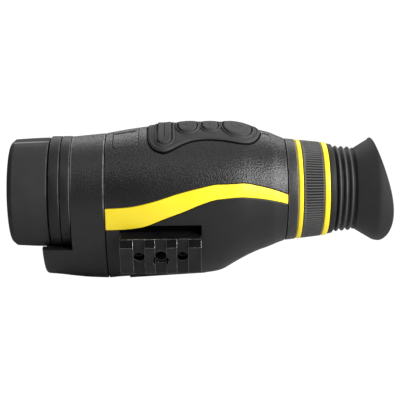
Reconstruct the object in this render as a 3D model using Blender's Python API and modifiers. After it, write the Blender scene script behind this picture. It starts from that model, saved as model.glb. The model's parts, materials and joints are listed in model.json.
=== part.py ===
"""Hand-held thermal imaging monocular, modelled as an assembly of separate pieces.

The optical axis runs along X: the objective looks towards -X and the eyepiece
towards +X. The accessory rail is on the -Y side, the keys are on top (+Z) and the
battery door is underneath. Sizes are in millimetres from the optical axis
(y = 0, z = 0) and become metres when a mesh is made. At the end the assembly is
moved so that the origin lies on the flat rest face under the front housing.

A piece made without a finish is a helper: a hidden tool for a boolean.
"""

import math

import bmesh
import bpy
from mathutils import Matrix, Vector

MM = 0.001
MERGE = 0.00001            # vertices closer than this are merged, in metres
SHARP = math.radians(35)   # edges turning more than this are shaded sharp

# ---------------------------------------------------------------- shared dimensions
GAP = 0.3                  # clearance between neighbouring pieces
WALL = 2.4                 # shell wall
REBATE = 1.4               # depth of the seat under the stripes
FRONT_X, SEAM_X = -49.0, -33.3   # front face behind the bezel; housing meets shells
REST_X = -40.0             # where the origin lies on the underside
BELLY_Z, BELLY_SLOPE = -42.1, 0.0554   # flat underside at the seam, and its rise per mm

# accessory rail: t runs up along its face and n out of it, both from the axis
RAIL_TILT = math.radians(17.4)         # rail normal below the horizontal
RAIL_N, RAIL_T = 40.5, -8.4            # top plane and centre line
RAIL_X0, RAIL_X1 = -26.3, 10.8
RAIL_FLOOR = 28.9                      # floor of the recess behind the rail
SLOT_PITCH, SLOT_MID = 10.01, -7.7

ILLUMINATOR_Z = -34.3

# ---------------------------------------------------------------- body tables
# (x, radius of the half circle above the axis)
UPPER_RADIUS = (
    (-64, 26.0), (-49, 26.4), (-42, 27.0), (-33.3, 27.8), (-27, 28.8), (-20, 29.9),
    (-13, 30.8), (-8, 31.2), (0, 31.6), (10, 31.9), (20, 31.8), (26, 31.4), (30, 30.8),
    (36, 29.4), (40, 28.5), (44.6, 27.3), (47.5, 26.0), (51.4, 24.4))
# (x, depth of the half ellipse below the axis)
LOWER_DEPTH = (
    (-64, 41.0), (-56, 41.9), (-49, 42.9), (-42, 43.6), (-33.3, 43.9), (-27, 43.2),
    (-16, 42.6), (-7, 42.3), (1.4, 41.9), (10, 41.4), (14, 41.0), (18.7, 40.2),
    (21.6, 39.2), (24.5, 37.4), (27.4, 35.4), (30.2, 33.6), (33.1, 31.9), (36, 30.4),
    (39, 29.0), (41.8, 28.0), (44.6, 26.9), (47.5, 25.7), (51.4, 24.4))
# (x, height above the axis) of the stripe's upper and lower edges
STRIPE_TOP = (
    (-33.3, 2.1), (-22.7, 3.4), (-11, 6.4), (0.7, 10.2), (10.5, 12.6), (19.1, 14.0),
    (29.6, 14.0), (36.8, 12.4), (43.4, 10.3), (48.8, 7.8), (51.5, 6.4))
STRIPE_LOW = (
    (-33.3, -8.5), (-27, -8.0), (-17, -6.3), (-5.3, -1.3), (3.5, 2.3), (10.4, 5.3),
    (19, 7.7), (27.8, 8.2), (35, 7.3), (43.4, 5.4), (51.2, 2.4))
# (x, half width) of the keypad
KEYPAD = (
    (-13.3, 8.6), (-12.7, 12.4), (-10.6, 16.2), (-6.5, 18.1), (-4, 17.8),
    (-1, 16.4), (3, 14.2), (8, 12.4), (14, 11.7), (20, 12.1), (26, 12.9),
    (31, 13.0), (35, 11.4), (37.8, 7.8), (39.3, 2.6))
# x of the cross sections of shells and stripes
SHELL_X = (SEAM_X + GAP, -26, -18, -8, 4, 14, 20, 24, 28, 32, 37, 43, 51.1)

# finish: (base colour, roughness, metallic)
FINISH = {
    "grained": ((0.016, 0.016, 0.017), 0.42, 0.0),
    "satin": ((0.018, 0.018, 0.019), 0.38, 0.0),
    "rubber": ((0.03, 0.03, 0.032), 0.7, 0.0),
    "yellow": ((1.0, 0.78, 0.03), 0.4, 0.0),
    "anodised": ((0.02, 0.02, 0.022), 0.4, 0.6),
    "black_metal": ((0.03, 0.03, 0.03), 0.35, 0.8),
    "steel": ((0.45, 0.45, 0.46), 0.3, 1.0),
    "brass": ((0.7, 0.5, 0.2), 0.3, 1.0),
    "glass": ((0.5, 0.55, 0.6), 0.05, 0.0),
    "germanium": ((0.12, 0.1, 0.14), 0.1, 0.8),
    "board": ((0.02, 0.14, 0.05), 0.5, 0.0),
    "cell": ((0.1, 0.2, 0.5), 0.4, 0.0),
}

for old in list(bpy.data.objects):
    bpy.data.objects.remove(old, do_unlink=True)
model = bpy.data.collections.new("thermal_monocular")
cutters = bpy.data.collections.new("cutters")
bpy.context.scene.collection.children.link(model)
bpy.context.scene.collection.children.link(cutters)


# ---------------------------------------------------------------- body shape
def value_at(table, x):
    """Value of a table of (x, value) pairs at x, in a straight line between pairs."""
    if x <= table[0][0]:
        return table[0][1]
    for (x0, value0), (x1, value1) in zip(table, table[1:]):
        if x <= x1:
            return value0 + (value1 - value0) * (x - x0) / (x1 - x0)
    return table[-1][1]


def belly(x):
    """Height of the flat underside."""
    return BELLY_Z + BELLY_SLOPE * (x - SEAM_X)


def skin(x, angle, inset=0.0):
    """Point of the body's skin: a half circle over the axis, a half ellipse under it,
    cut by the flat underside. The angle is 0 towards +Y and 90 degrees at the top."""
    radius = value_at(UPPER_RADIUS, x) - inset
    depth = value_at(LOWER_DEPTH, x) - inset
    rise = math.sin(angle)
    z = (radius if rise >= 0 else depth) * rise
    return (x, radius * math.cos(angle), max(z, belly(x) + inset))


def top_z(x, y, height):
    """Height of a point that lies the given height over the body's top."""
    radius = value_at(UPPER_RADIUS, x) + height
    return math.sqrt(max(radius * radius - y * y, 0.0))


# ---------------------------------------------------------------- object helpers
def finish(ob, look):
    rgb, roughness, metallic = FINISH[look]
    made = bpy.data.materials.new(ob.name + "_finish")
    made.use_nodes = True
    shader = made.node_tree.nodes["Principled BSDF"]
    shader.inputs["Base Color"].default_value = (*rgb, 1.0)
    shader.inputs["Roughness"].default_value = roughness
    shader.inputs["Metallic"].default_value = metallic
    made.diffuse_color = (*rgb, 1.0)
    ob.data.materials.append(made)


def mesh_from(name, bm):
    mesh = bpy.data.meshes.new(name)
    bm.to_mesh(mesh)
    bm.free()
    return mesh


def add(name, bm, look=None, origin=(0, 0, 0)):
    """Turn a bmesh in millimetres into a piece, or into a helper if it has no look."""
    bm.normal_update()
    bmesh.ops.recalc_face_normals(bm, faces=bm.faces)
    for vert in bm.verts:
        vert.co = (vert.co - Vector(origin)) * MM
    mesh = mesh_from(name, bm)
    ob = bpy.data.objects.new(name, mesh)
    ob.location = Vector(origin) * MM
    if look is None:
        cutters.objects.link(ob)
        ob.hide_render = True
        ob.display_type = "WIRE"
    else:
        model.objects.link(ob)
        finish(ob, look)
        mesh.shade_smooth()
        mesh.set_sharp_from_angle(angle=SHARP)
    return ob


def boolean(ob, tool, operation):
    step = ob.modifiers.new(tool.name, "BOOLEAN")
    step.operation = operation
    step.solver = "EXACT"
    step.object = tool


def cut(ob, tool):
    boolean(ob, tool, "DIFFERENCE")


def fuse(ob, tool):
    boolean(ob, tool, "UNION")


def bridge(bm, row_a, row_b):
    """Join two closed rows of vertices with quads."""
    count = len(row_a)
    for i in range(count):
        j = (i + 1) % count
        bm.faces.new((row_a[i], row_a[j], row_b[j], row_b[i]))


def loft(rings, loop=False):
    """Skin a row of closed rings; cap the two ends, or close the row on itself."""
    bm = bmesh.new()
    rows = [[bm.verts.new(point) for point in ring] for ring in rings]
    for row_a, row_b in zip(rows, rows[1:]):
        bridge(bm, row_a, row_b)
    if loop:
        bridge(bm, rows[-1], rows[0])
    else:
        bm.faces.new(rows[0])
        bm.faces.new(list(reversed(rows[-1])))
    return bm


def both(half):
    """Range that reaches equally far to either side of zero."""
    return (-half, half)


def box(name, x_range, y_range, z_range, look=None, frame=None, origin=(0, 0, 0)):
    """A box between three ranges, placed by the frame matrix if there is one."""
    ranges = (x_range, y_range, z_range)
    bm = bmesh.new()
    bmesh.ops.create_cube(bm, size=1.0)
    for vert in bm.verts:
        vert.co = Vector([low + (high - low) * (c + 0.5)
                          for (low, high), c in zip(ranges, vert.co)])
    if frame:
        bm.transform(frame)
    return add(name, bm, look, origin)


def rod(name, start, along, radius, look=None, segs=20, origin=(0, 0, 0), end_radius=None):
    """A cylinder (or cone) from start, as long as the vector along."""
    along = Vector(along)
    bm = bmesh.new()
    bmesh.ops.create_cone(bm, cap_ends=True, segments=segs, radius1=radius,
                          radius2=radius if end_radius is None else end_radius,
                          depth=along.length)
    turn = Vector((0, 0, 1)).rotation_difference(along.normalized()).to_matrix().to_4x4()
    bm.transform(Matrix.Translation(Vector(start) + along / 2) @ turn)
    return add(name, bm, look, origin)


def signed_volume(ob):
    bpy.context.view_layer.update()
    whole = ob.evaluated_get(bpy.context.evaluated_depsgraph_get())
    bm = bmesh.new()
    bm.from_mesh(whole.to_mesh())
    volume = bm.calc_volume(signed=True)
    bm.free()
    whole.to_mesh_clear()
    return volume


def turned(name, look, segs, profile):
    """A profile of (x, radius) pairs turned about the optical axis with a Screw modifier.
    A profile that starts and ends on the axis is open; any other closes on itself."""
    bm = bmesh.new()
    verts = [bm.verts.new((x * MM, 0, radius * MM)) for x, radius in profile]
    for start, end in zip(verts, verts[1:]):
        bm.edges.new((start, end))
    if profile[0][1] > 0:
        bm.edges.new((verts[-1], verts[0]))
    ob = bpy.data.objects.new(name, mesh_from(name, bm))
    model.objects.link(ob)
    finish(ob, look)
    turn = ob.modifiers.new("turn", "SCREW")
    turn.axis = "X"
    turn.angle = 2 * math.pi
    turn.steps = turn.render_steps = segs
    turn.use_merge_vertices = True
    turn.merge_threshold = MERGE
    turn.use_smooth_shade = True
    # the way round the profile is drawn decides which side the faces look to
    if signed_volume(ob) < 0:
        turn.use_normal_flip = True
    return ob


def patch(name, outline, low, high, across, look=None, origin=(0, 0, 0), edge=0.0, sink=0.0):
    """A patch that follows the body's top: outline rows (x, half width), from height
    low to height high over the skin. Its outer edge drops by sink within edge mm."""
    bm = bmesh.new()
    rows = []
    for x, half_width in outline:
        inner = half_width - edge
        ys = [-inner + 2 * inner * i / across for i in range(across + 1)]
        if edge:
            ys = [-half_width] + ys + [half_width]
        low_row = [bm.verts.new((x, y, top_z(x, y, low))) for y in ys]
        drops = [sink] + [0.0] * (len(ys) - 2) + [sink]
        high_row = [bm.verts.new((x, y, top_z(x, y, high - drop))) for y, drop in zip(ys, drops)]
        rows.append(low_row + high_row[::-1])
    for row_a, row_b in zip(rows, rows[1:]):
        bridge(bm, row_a, row_b)
    count = len(rows[0])
    for row in (rows[0], rows[-1]):
        for i in range(count // 2 - 1):
            bm.faces.new((row[i], row[i + 1], row[count - 2 - i], row[count - 1 - i]))
    return add(name, bm, look, origin)


# ---------------------------------------------------------------- shells and stripes
def stripe_angles(x):
    """Angles of the stripe's lower and upper edge on the +Y side."""
    radius, depth = value_at(UPPER_RADIUS, x), value_at(LOWER_DEPTH, x)
    heights = (value_at(STRIPE_LOW, x), value_at(STRIPE_TOP, x))
    return [math.asin(z / (radius if z >= 0 else depth)) for z in heights]


def shell_ring(x, side, steps, wall_at):
    """Section of the upper (side 1) or lower (side -1) shell: its rebated edges lie
    under the stripes, and wall_at(x, angle) gives the wall's thickness."""
    joint_gap, seat_gap = 0.15, 0.2
    low, high = stripe_angles(x)
    radius = value_at(UPPER_RADIUS, x)
    joint = (low + high) / 2 + side * joint_gap / radius
    seat = (high if side > 0 else low) + side * seat_gap / radius
    half_turn = side * math.pi
    outer = [(joint, REBATE), (seat, REBATE)]
    outer += [(seat + (half_turn - 2 * seat) * i / steps, 0.0) for i in range(steps + 1)]
    outer += [(half_turn - seat, REBATE), (half_turn - joint, REBATE)]
    back = [half_turn - joint + (2 * joint - half_turn) * i / steps for i in range(steps + 1)]
    inner = [(angle, wall_at(x, angle)) for angle in back]
    return [skin(x, angle, inset) for angle, inset in outer + inner]


def even_wall(x, angle):
    return WALL


def lower_wall(x, angle):
    """The lower shell's wall is thicker behind the rail's recess."""
    if not -30 < x < 15:
        return WALL
    extra, fade_from, fade_over = 2.6, 0.45, 0.3
    facing_rail = (-math.cos(angle) * math.cos(RAIL_TILT)
                   - math.sin(angle) * math.sin(RAIL_TILT))
    return WALL + extra * min(1.0, max(0.0, (facing_rail - fade_from) / fade_over))


def build_shells():
    upper = add("upper_shell", loft([shell_ring(x, 1, 16, even_wall) for x in SHELL_X]),
                "grained")
    lower = add("lower_shell", loft([shell_ring(x, -1, 20, lower_wall) for x in SHELL_X]),
                "satin")
    return upper, lower


def build_stripes():
    proud = 0.1
    for side, name in ((-1, "side_stripe_left"), (1, "side_stripe_right")):
        rows = []
        for x in SHELL_X:
            low, high = stripe_angles(x)
            arc = [low + (high - low) * i / 5 for i in range(6)]
            ring = [skin(x, angle, -proud) for angle in arc]
            ring += [skin(x, angle, REBATE - GAP) for angle in arc[::-1]]
            rows.append([(px, side * y, z) for px, y, z in ring])
        add(name, loft(rows), "yellow")


# ---------------------------------------------------------------- front housing
POD_X = -63.4              # front of the lower pod
SADDLE_R = 27.3            # pod top, hollowed around the rings
POD_SHOULDER_Z = -20.3
# (y, z) of the screws under the bezel
HOUSING_SCREWS = ((-17.0, 16.4), (17.0, 16.4), (-23.0, -8.0), (23.0, -8.0))


def build_front_housing():
    def section(x, inset=0.0):
        return [skin(x, 2 * math.pi * i / 32, inset) for i in range(32)]

    rows = [section(POD_X, 1.2), section(POD_X + 0.5, 0.45), section(POD_X + 1.4)]
    rows += [section(x) for x in (-56, FRONT_X, -41, SEAM_X - 0.1)]
    housing = add("front_housing", loft(rows), "grained")
    # everything over the pod is cut away: flat shoulders and a saddle around the rings
    dip = math.asin(-POD_SHOULDER_Z / SADDLE_R)
    arc = [dip + (math.pi - 2 * dip) * i / 12 for i in range(13)]
    saddle = [(40, 40), (-40, 40), (-40, POD_SHOULDER_Z)]
    saddle += [(-SADDLE_R * math.cos(angle), -SADDLE_R * math.sin(angle)) for angle in arc]
    saddle += [(40, POD_SHOULDER_Z)]
    cut(housing, add("pod_saddle", loft([[(x, y, z) for y, z in saddle]
                                         for x in (-70, FRONT_X)])))
    cut(housing, add("front_cavity", loft([section(x, 2.3) for x in (-46.4, -41, -32)])))
    cut(housing, rod("barrel_bore", (-52, 0, 0), (8, 0, 0), 21.1, segs=40))
    cut(housing, rod("illuminator_bore", (-66, 0, ILLUMINATOR_Z), (22, 0, 0), 5.6, segs=24))
    return housing


def add_housing_screws(housing, upper_shell, lower_shell):
    """Screws run through posts in the front housing into bosses in the two shells."""
    for number, (y, z) in enumerate(HOUSING_SCREWS, 1):
        def part(kind, x, length, radius, segs, look=None):
            return rod("%s_%d" % (kind, number), (x, y, z), (length, 0, 0), radius, look, segs)

        shell = upper_shell if z > 0 else lower_shell
        fuse(shell, part("boss", -32.95, 7.5, 2.7, 14))
        cut(shell, part("boss_hole", -34.5, 8.0, 1.25, 12))
        fuse(housing, part("post", -43.2, 9.8, 2.5, 12))
        cut(housing, part("post_bore", -50, 18, 1.3, 12))
        cut(housing, part("post_sink", -50, 2.8, 2.1, 14))
        screw = part("housing_screw", -48.8, 1.4, 1.8, 14, "steel")
        fuse(screw, part("shank", -48.0, 20.5, 0.95, 12))
        cut(screw, part("drive", -49.5, 1.5, 0.75, 6))


# ---------------------------------------------------------------- keypad and keys
KEY_TRAVEL = 0.6
KEY_BASE = -0.7            # underside of a key over the skin
STEM_DROP = 3.2            # lower end of a key's stem under its underside
SWITCH_GAP = 0.15          # left under a stem when its key is fully pressed
# name, centre x, half length along x, half width, straight-sided stadium
KEYS = (
    ("key_mode", -5.5, 3.25, 14.3, True),
    ("key_zoom_in", 5.3, 4.4, 7.3, False),
    ("key_zoom_out", 15.9, 3.7, 6.1, False),
    ("key_power", 28.7, 6.6, 9.3, False))


def key_outline(middle, half_x, half_y, stadium, grow=0.0):
    """Outline rows (x, half width) of a key, grown outwards by grow."""
    start, steps, fullness = 0.28, 6, 0.85
    rows = []
    for i in range(steps + 1):
        angle = start + (math.pi - 2 * start) * i / steps
        if stadium:
            width = (half_y - half_x) + (half_x + grow) * math.sin(angle)
        else:
            width = (half_y + grow) * math.sin(angle) ** fullness
        rows.append((middle - (half_x + grow) * math.cos(angle) / math.cos(start), width))
    return rows


def build_keypad(upper_shell):
    membrane = patch("keypad_membrane", KEYPAD, -1.25, 1.0, 6, "rubber", edge=0.8, sink=0.6)
    seat = [(x, width + 0.35) for x, width in KEYPAD]
    seat[0] = (seat[0][0] - GAP, seat[0][1])
    seat[-1] = (seat[-1][0] + GAP, seat[-1][1])
    cut(upper_shell, patch("keypad_seat", seat, -1.6, 4.0, 6, edge=0.8))

    board = box("key_board", (-11, 35), both(9.5), (22.4, 23.6), "board")
    for name, x, *shape in KEYS:
        base = top_z(x, 0, KEY_BASE)
        key = patch(name, key_outline(x, *shape), KEY_BASE, 1.75, 4, "rubber",
                    origin=(x, 0, base), edge=0.7, sink=0.5)
        fuse(key, rod(name + "_stem", (x, 0, base - STEM_DROP), (0, 0, 3.9), 1.4, segs=12))
        cut(membrane, patch(name + "_window", key_outline(x, *shape, grow=GAP), -4.0, 4.0, 4))
        cut(upper_shell, rod(name + "_hole", (x, 0, base - 5.0), (0, 0, 6.0), 1.9, segs=16))
        # the switch under the stem, with its plunger
        top = base - STEM_DROP - KEY_TRAVEL - SWITCH_GAP
        fuse(board, box(name + "_switch", (x - 2.2, x + 2.2), both(2.2), (23.0, top - 0.5)))
        fuse(board, rod(name + "_plunger", (x, 0, top - 0.9), (0, 0, 0.9), 1.1, segs=12))


# ---------------------------------------------------------------- port cover and window
def build_port_cover(upper_shell):
    x0, x1, half = -29.4, -17.6, 11.9
    middle = (x0 + x1) / 2
    corner_x, corner_y = 0.7, 0.9
    rows = [(x0, half - corner_y)]
    rows += [(x, half) for x in (x0 + corner_x, middle - 2.5, middle, middle + 2.5,
                                 x1 - corner_x)]
    rows += [(x1, half - corner_y)]
    # the origin lies on the cover's +Y edge
    patch("port_cover", rows, -1.3, 0.1, 6, "rubber",
          origin=(middle, half, top_z(middle, half, 0.1)))
    seat = [(x, half + GAP) for x in (x0 - 0.25, middle, x1 + 0.25)]
    cut(upper_shell, patch("port_seat", seat, -1.6, 4.0, 6))
    cut(upper_shell, box("port_opening", (-27.6, -19.4), both(9.4), (20, 34)))


def build_indicator(upper_shell):
    patch("indicator_window", ((40.2, 0.5), (40.6, 1.0), (43.0, 1.0), (43.4, 0.5)),
          -2.9, 0.05, 3, "glass")
    cut(upper_shell, patch("indicator_hole", ((39.95, 1.3), (43.65, 1.3)), -6.0, 3.0, 2))


# ---------------------------------------------------------------- accessory rail
# matrix from the rail's (x, t, n) to the assembly's (x, y, z)
RAIL = Matrix((
    (1, 0, 0, 0),
    (0, -math.sin(RAIL_TILT), -math.cos(RAIL_TILT), 0),
    (0, math.cos(RAIL_TILT), -math.sin(RAIL_TILT), 0),
    (0, 0, 0, 1),
))
# (distance from the centre line, n) down one side of the rail
RAIL_PROFILE = (
    (7.83, RAIL_N), (10.6, RAIL_N - 2.77), (10.6, RAIL_N - 3.1),
    (7.9, RAIL_N - 5.6), (7.9, RAIL_FLOOR + GAP))
# (t, n) of the recess: a flat floor whose upper end sweeps out to the skin
RAIL_RECESS = (
    (-20.4, 45), (-20.4, RAIL_FLOOR), (0.0, RAIL_FLOOR), (1.8, RAIL_FLOOR + 0.35),
    (3.3, RAIL_FLOOR + 1.1), (4.6, RAIL_FLOOR + 2.1), (6.2, RAIL_FLOOR + 4.0), (6.2, 45))
SLOT_WIDTH, SLOT_DEPTH = 5.23, 3.0


def on_rail(x, t, n):
    return RAIL @ Vector((x, t, n))


def rail_rod(name, x, n, length, radius, segs, look=None):
    """A rod on the rail's centre line that runs outwards from n."""
    out = RAIL.to_3x3() @ Vector((0, 0, 1))
    return rod(name, on_rail(x, RAIL_T, n), out * length, radius, look, segs)


def rail_box(name, x_range, half, n_range):
    return box(name, x_range, (RAIL_T - half, RAIL_T + half), n_range, frame=RAIL)


def build_rail(lower_shell):
    ring = [(RAIL_T + t, n) for t, n in RAIL_PROFILE]
    ring += [(RAIL_T - t, n) for t, n in RAIL_PROFILE[::-1]]
    rail = add("accessory_rail",
               loft([[on_rail(x, t, n) for t, n in ring] for x in (RAIL_X0, RAIL_X1)]),
               "anodised", origin=on_rail(SLOT_MID, RAIL_T, RAIL_N))
    for i in range(3):
        middle = SLOT_MID + (i - 1) * SLOT_PITCH
        cut(rail, rail_box("slot_%d" % (i + 1),
                           (middle - SLOT_WIDTH / 2, middle + SLOT_WIDTH / 2), 14,
                           (RAIL_N - SLOT_DEPTH, RAIL_N + 3)))

    # backing inside the shell takes the screws
    fuse(lower_shell, rail_box("rail_backing", (RAIL_X0 + 2, RAIL_X1 - 2), 6.0,
                               (23.0, RAIL_FLOOR - 0.2)))
    cut(lower_shell, add("rail_pocket", loft([[on_rail(x, t, n) for t, n in RAIL_RECESS]
                                              for x in (RAIL_X0 - GAP, RAIL_X1 + GAP)])))
    for end, x in (("front", SLOT_MID - SLOT_PITCH), ("rear", SLOT_MID + SLOT_PITCH)):
        cut(rail, rail_rod("rail_sink_" + end, x, RAIL_N - 7.9, 10, 2.65, 20))
        cut(rail, rail_rod("rail_through_" + end, x, RAIL_FLOOR - 2, 9, 1.75, 16))
        cut(lower_shell, rail_rod("rail_tap_" + end, x, 23.8, 10, 1.75, 16))
        screw = rail_rod("rail_screw_" + end, x, RAIL_N - 7.6, 2.5, 2.2, 20, "black_metal")
        fuse(screw, rail_rod("rail_shank_" + end, x, 24.2, 9.3, 1.45, 14))
        cut(screw, rail_rod("rail_hex_" + end, x, RAIL_N - 6.5, 4, 1.2, 6))

    cut(rail, rail_rod("insert_bore", SLOT_MID, RAIL_FLOOR - 1, 14, 3.75, 24))
    insert = rail_rod("tripod_insert", SLOT_MID, RAIL_FLOOR + 2.0, 6.0, 3.5, 24, "brass")
    cut(insert, rail_rod("insert_thread", SLOT_MID, RAIL_FLOOR - 1, 12, 2.6, 20))


# ---------------------------------------------------------------- battery door
# matrix of the bay: x along the sloping underside, z up into the body
BAY = (Matrix.Translation((0, 0, belly(0)))
       @ Matrix.Rotation(-math.atan(BELLY_SLOPE), 4, "Y"))
DOOR_X0, DOOR_X1, DOOR_Y = -23.2, 13.4, 9.4
HINGE_UP = 0.95            # hinge axis over the underside


def hinge_rod(name, x0, x1, radius, segs, look=None):
    """A rod on the door's hinge axis, along its +Y edge."""
    return rod(name, BAY @ Vector((x0, DOOR_Y, HINGE_UP)),
               BAY.to_3x3() @ Vector((x1 - x0, 0, 0)), radius, look, segs)


def build_battery_door(lower_shell):
    door = box("battery_door", (DOOR_X0, DOOR_X1), both(DOOR_Y), (0.0, 1.9), "satin",
               frame=BAY, origin=BAY @ Vector((0, DOOR_Y, HINGE_UP)))
    fuse(door, hinge_rod("door_knuckle", DOOR_X0, DOOR_X1, 1.05, 16))
    cut(door, hinge_rod("door_bore", DOOR_X0 - 3, DOOR_X1 + 3, 0.6, 12))
    grip_pitch, grip_half = 2.6, 0.6
    for i in range(5):
        x = (DOOR_X0 + DOOR_X1) / 2 + (i - 2) * grip_pitch
        cut(door, box("door_grip_%d" % (i + 1), (x - grip_half, x + grip_half),
                      (-DOOR_Y + 1.2, -DOOR_Y + 5.2), (-1, 0.45), frame=BAY))
    cut(lower_shell, box("bay_opening", (DOOR_X0 - GAP, DOOR_X1 + GAP),
                         (-DOOR_Y - GAP, DOOR_Y + 1.25), (-3, 6), frame=BAY))
    for i, x in enumerate((DOOR_X0 - 2.6, DOOR_X1 - 0.5)):
        cut(lower_shell, hinge_rod("pin_bore_%d" % (i + 1), x, x + 3.1, 0.6, 10))
    hinge_rod("door_hinge_pin", DOOR_X0 - 2.2, DOOR_X1 + 2.2, 0.35, 12, "steel")


# ---------------------------------------------------------------- battery
CELL_R, CELL_L, CELL_X, CELL_Z = 8.5, 34.5, -22.0, -28.8   # cell with its button


def cell_rod(name, x, length, radius, segs, look=None):
    return rod(name, (x, 0, CELL_Z), (length, 0, 0), radius, look, segs)


def build_battery():
    end_x = CELL_X + CELL_L
    cell = cell_rod("battery_cell", CELL_X, CELL_L - 1.4, CELL_R, 28, "cell")
    fuse(cell, cell_rod("cell_button", end_x - 2, 2, 3.1, 20))
    cradle = cell_rod("battery_cradle", CELL_X - 4.4, CELL_L + 7.6, CELL_R + 2.0, 28, "satin")
    cut(cradle, cell_rod("cradle_bore", CELL_X - 3.0, CELL_L + 4.6, CELL_R + 0.4, 32))
    cut(cradle, box("cradle_mouth", (CELL_X - 10, end_x + 10), both(20), (-60, CELL_Z - 3.0)))
    box("battery_contact_plus", (end_x + 0.35, end_x + 0.85), both(4),
        (CELL_Z - 2.6, CELL_Z + 5), "steel")


def build_battery_spring():
    """The negative contact: a coil that widens forwards, away from the cell."""
    steps_per_turn, steps = 8, 20
    start_x, length = CELL_X - 0.75, 1.8
    start_radius, widening = 2.2, 1.0
    coil = bpy.data.curves.new("battery_spring", "CURVE")
    coil.dimensions = "3D"
    coil.bevel_depth = 0.3 * MM
    coil.bevel_resolution = 1
    coil.use_fill_caps = True
    line = coil.splines.new("POLY")
    line.points.add(steps)
    for i in range(steps + 1):
        angle = 2 * math.pi * i / steps_per_turn
        radius = start_radius + widening * i / steps
        line.points[i].co = ((start_x - length * i / steps) * MM,
                             radius * math.cos(angle) * MM,
                             (CELL_Z + radius * math.sin(angle)) * MM, 1)
    wire = bpy.data.objects.new("battery_spring_wire", coil)
    model.objects.link(wire)
    bpy.context.view_layer.update()
    depsgraph = bpy.context.evaluated_depsgraph_get()
    mesh = bpy.data.meshes.new_from_object(wire.evaluated_get(depsgraph))
    # the curve's caps are separate until their vertices are merged
    bm = bmesh.new()
    bm.from_mesh(mesh)
    bmesh.ops.remove_doubles(bm, verts=bm.verts, dist=MERGE)
    bmesh.ops.recalc_face_normals(bm, faces=bm.faces)
    bm.to_mesh(mesh)
    bm.free()
    bpy.data.objects.remove(wire, do_unlink=True)
    spring = bpy.data.objects.new("battery_spring", mesh)
    model.objects.link(spring)
    finish(spring, "steel")
    mesh.shade_smooth()


# ---------------------------------------------------------------- objective
RING_R = 26.6
BEZEL_X0, BEZEL_X1 = -53.75, -49.25
FOCUS_X0, FOCUS_X1 = -58.95, BEZEL_X0 - GAP
CAP_X0, CAP_X1, CAP_R0, CAP_R1 = -78.2, -59.6, 25.3, 26.0   # front and rear ends


def build_lens_cap():
    cap = turned("lens_cap", "rubber", 36, (
        (CAP_X0 + 2.0, 0), (CAP_X0 + 2.0, 22.0), (CAP_X0 + 3.4, 23.35), (CAP_X1, 23.35),
        (CAP_X1, CAP_R1 - 0.5), (CAP_X1 - 0.8, CAP_R1), (-68, 25.75),
        (CAP_X0 + 2.2, CAP_R0), (CAP_X0 + 0.8, CAP_R0 - 0.7), (CAP_X0, CAP_R0 - 2.4),
        (CAP_X0, 0)))
    # a flat along the top, rising to the rear
    ends = [[(x, -12, low), (x, 12, low), (x, 12, 30), (x, -12, 30)]
            for x, low in ((CAP_X0 - 2, 24.85), (CAP_X1 + 2, 25.5))]
    cut(cap, add("cap_flat", loft(ends)))


def build_objective():
    turned("focus_ring", "satin", 28, (
        (FOCUS_X0, RING_R - 0.5), (FOCUS_X0 + 0.5, RING_R), (FOCUS_X1, RING_R),
        (FOCUS_X1, 21.1), (-54.6, 21.1), (-54.6, 23.1), (FOCUS_X0, 23.1)))
    # the sleeve inside the ring runs forward under the cap
    turned("focus_sleeve", "satin", 28, (
        (-74.6, 23.0), (-54.9, 23.0), (-54.9, 22.2), (-62.5, 22.2), (-62.5, 21.1),
        (-74.6, 21.1)))
    turned("bezel_ring", "satin", 28, (
        (BEZEL_X0, RING_R), (BEZEL_X1, RING_R), (BEZEL_X1, 21.1), (BEZEL_X0, 21.1)))
    barrel = turned("objective_barrel", "black_metal", 24, (
        (-72.5, 20.7), (-45.9, 20.7), (-45.9, 22.3), (-43.6, 22.3), (-43.6, 19.0),
        (-72.5, 19.0)))
    cut(barrel, box("key_slot", (-61.5, -54.9), both(1.6), (15, 25)))
    lens_cell = turned("objective_cell", "black_metal", 24, (
        (-70.6, 18.7), (-56.0, 18.7), (-56.0, 14.6), (-57.2, 14.6), (-57.2, 16.7),
        (-61.3, 16.7), (-61.3, 15.2), (-64.3, 15.2), (-64.3, 16.7), (-67.3, 16.7),
        (-67.9, 15.6), (-70.6, 16.2)))
    # the pin stands in the lens cell and passes through the barrel's slot
    pin_x = -58.2
    rod("focus_key_pin", (pin_x, 0, 17.9), (0, 0, 4.0), 1.1, "steel", segs=14,
        origin=(pin_x, 0, 19.8))
    cut(lens_cell, rod("pin_hole", (pin_x, 0, 17.5), (0, 0, 5), 1.3, segs=14))
    turned("objective_lens_front", "germanium", 24, (
        (-69.6, 0), (-69.2, 7.0), (-67.9, 13.0), (-66.6, 16.4), (-64.6, 16.4),
        (-65.6, 9.0), (-65.9, 0)))
    turned("objective_lens_rear", "germanium", 24, (
        (-60.9, 0), (-61.1, 16.4), (-57.5, 16.4), (-58.6, 9.0), (-58.9, 0)))


def build_illuminator():
    radius = 5.2
    rod("illuminator_lens", (-62.6, 0, ILLUMINATOR_Z), (1.8, 0, 0), radius, "glass", segs=24)
    emitter = rod("illuminator_emitter", (-60.2, 0, ILLUMINATOR_Z), (10.5, 0, 0), radius,
                  "black_metal", segs=24)
    cut(emitter, rod("reflector_bowl", (-60.6, 0, ILLUMINATOR_Z), (6.0, 0, 0), 4.4,
                     end_radius=1.2))


# ---------------------------------------------------------------- sensor and boards
def build_sensor():
    sensor = box("thermal_sensor", (-39.6, -34.7), both(9), both(9), "black_metal")
    cut(sensor, box("sensor_window", (-40, -39.0), both(6.5), both(5.2)))
    holder = box("sensor_frame", (-43.2, -35.2), both(14), both(14), "black_metal")
    cut(holder, box("sensor_frame_open", (-44, -34), both(9.4), both(9.4)))
    box("sensor_board", (-34.3, -32.7), both(14), both(14), "board")


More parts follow.
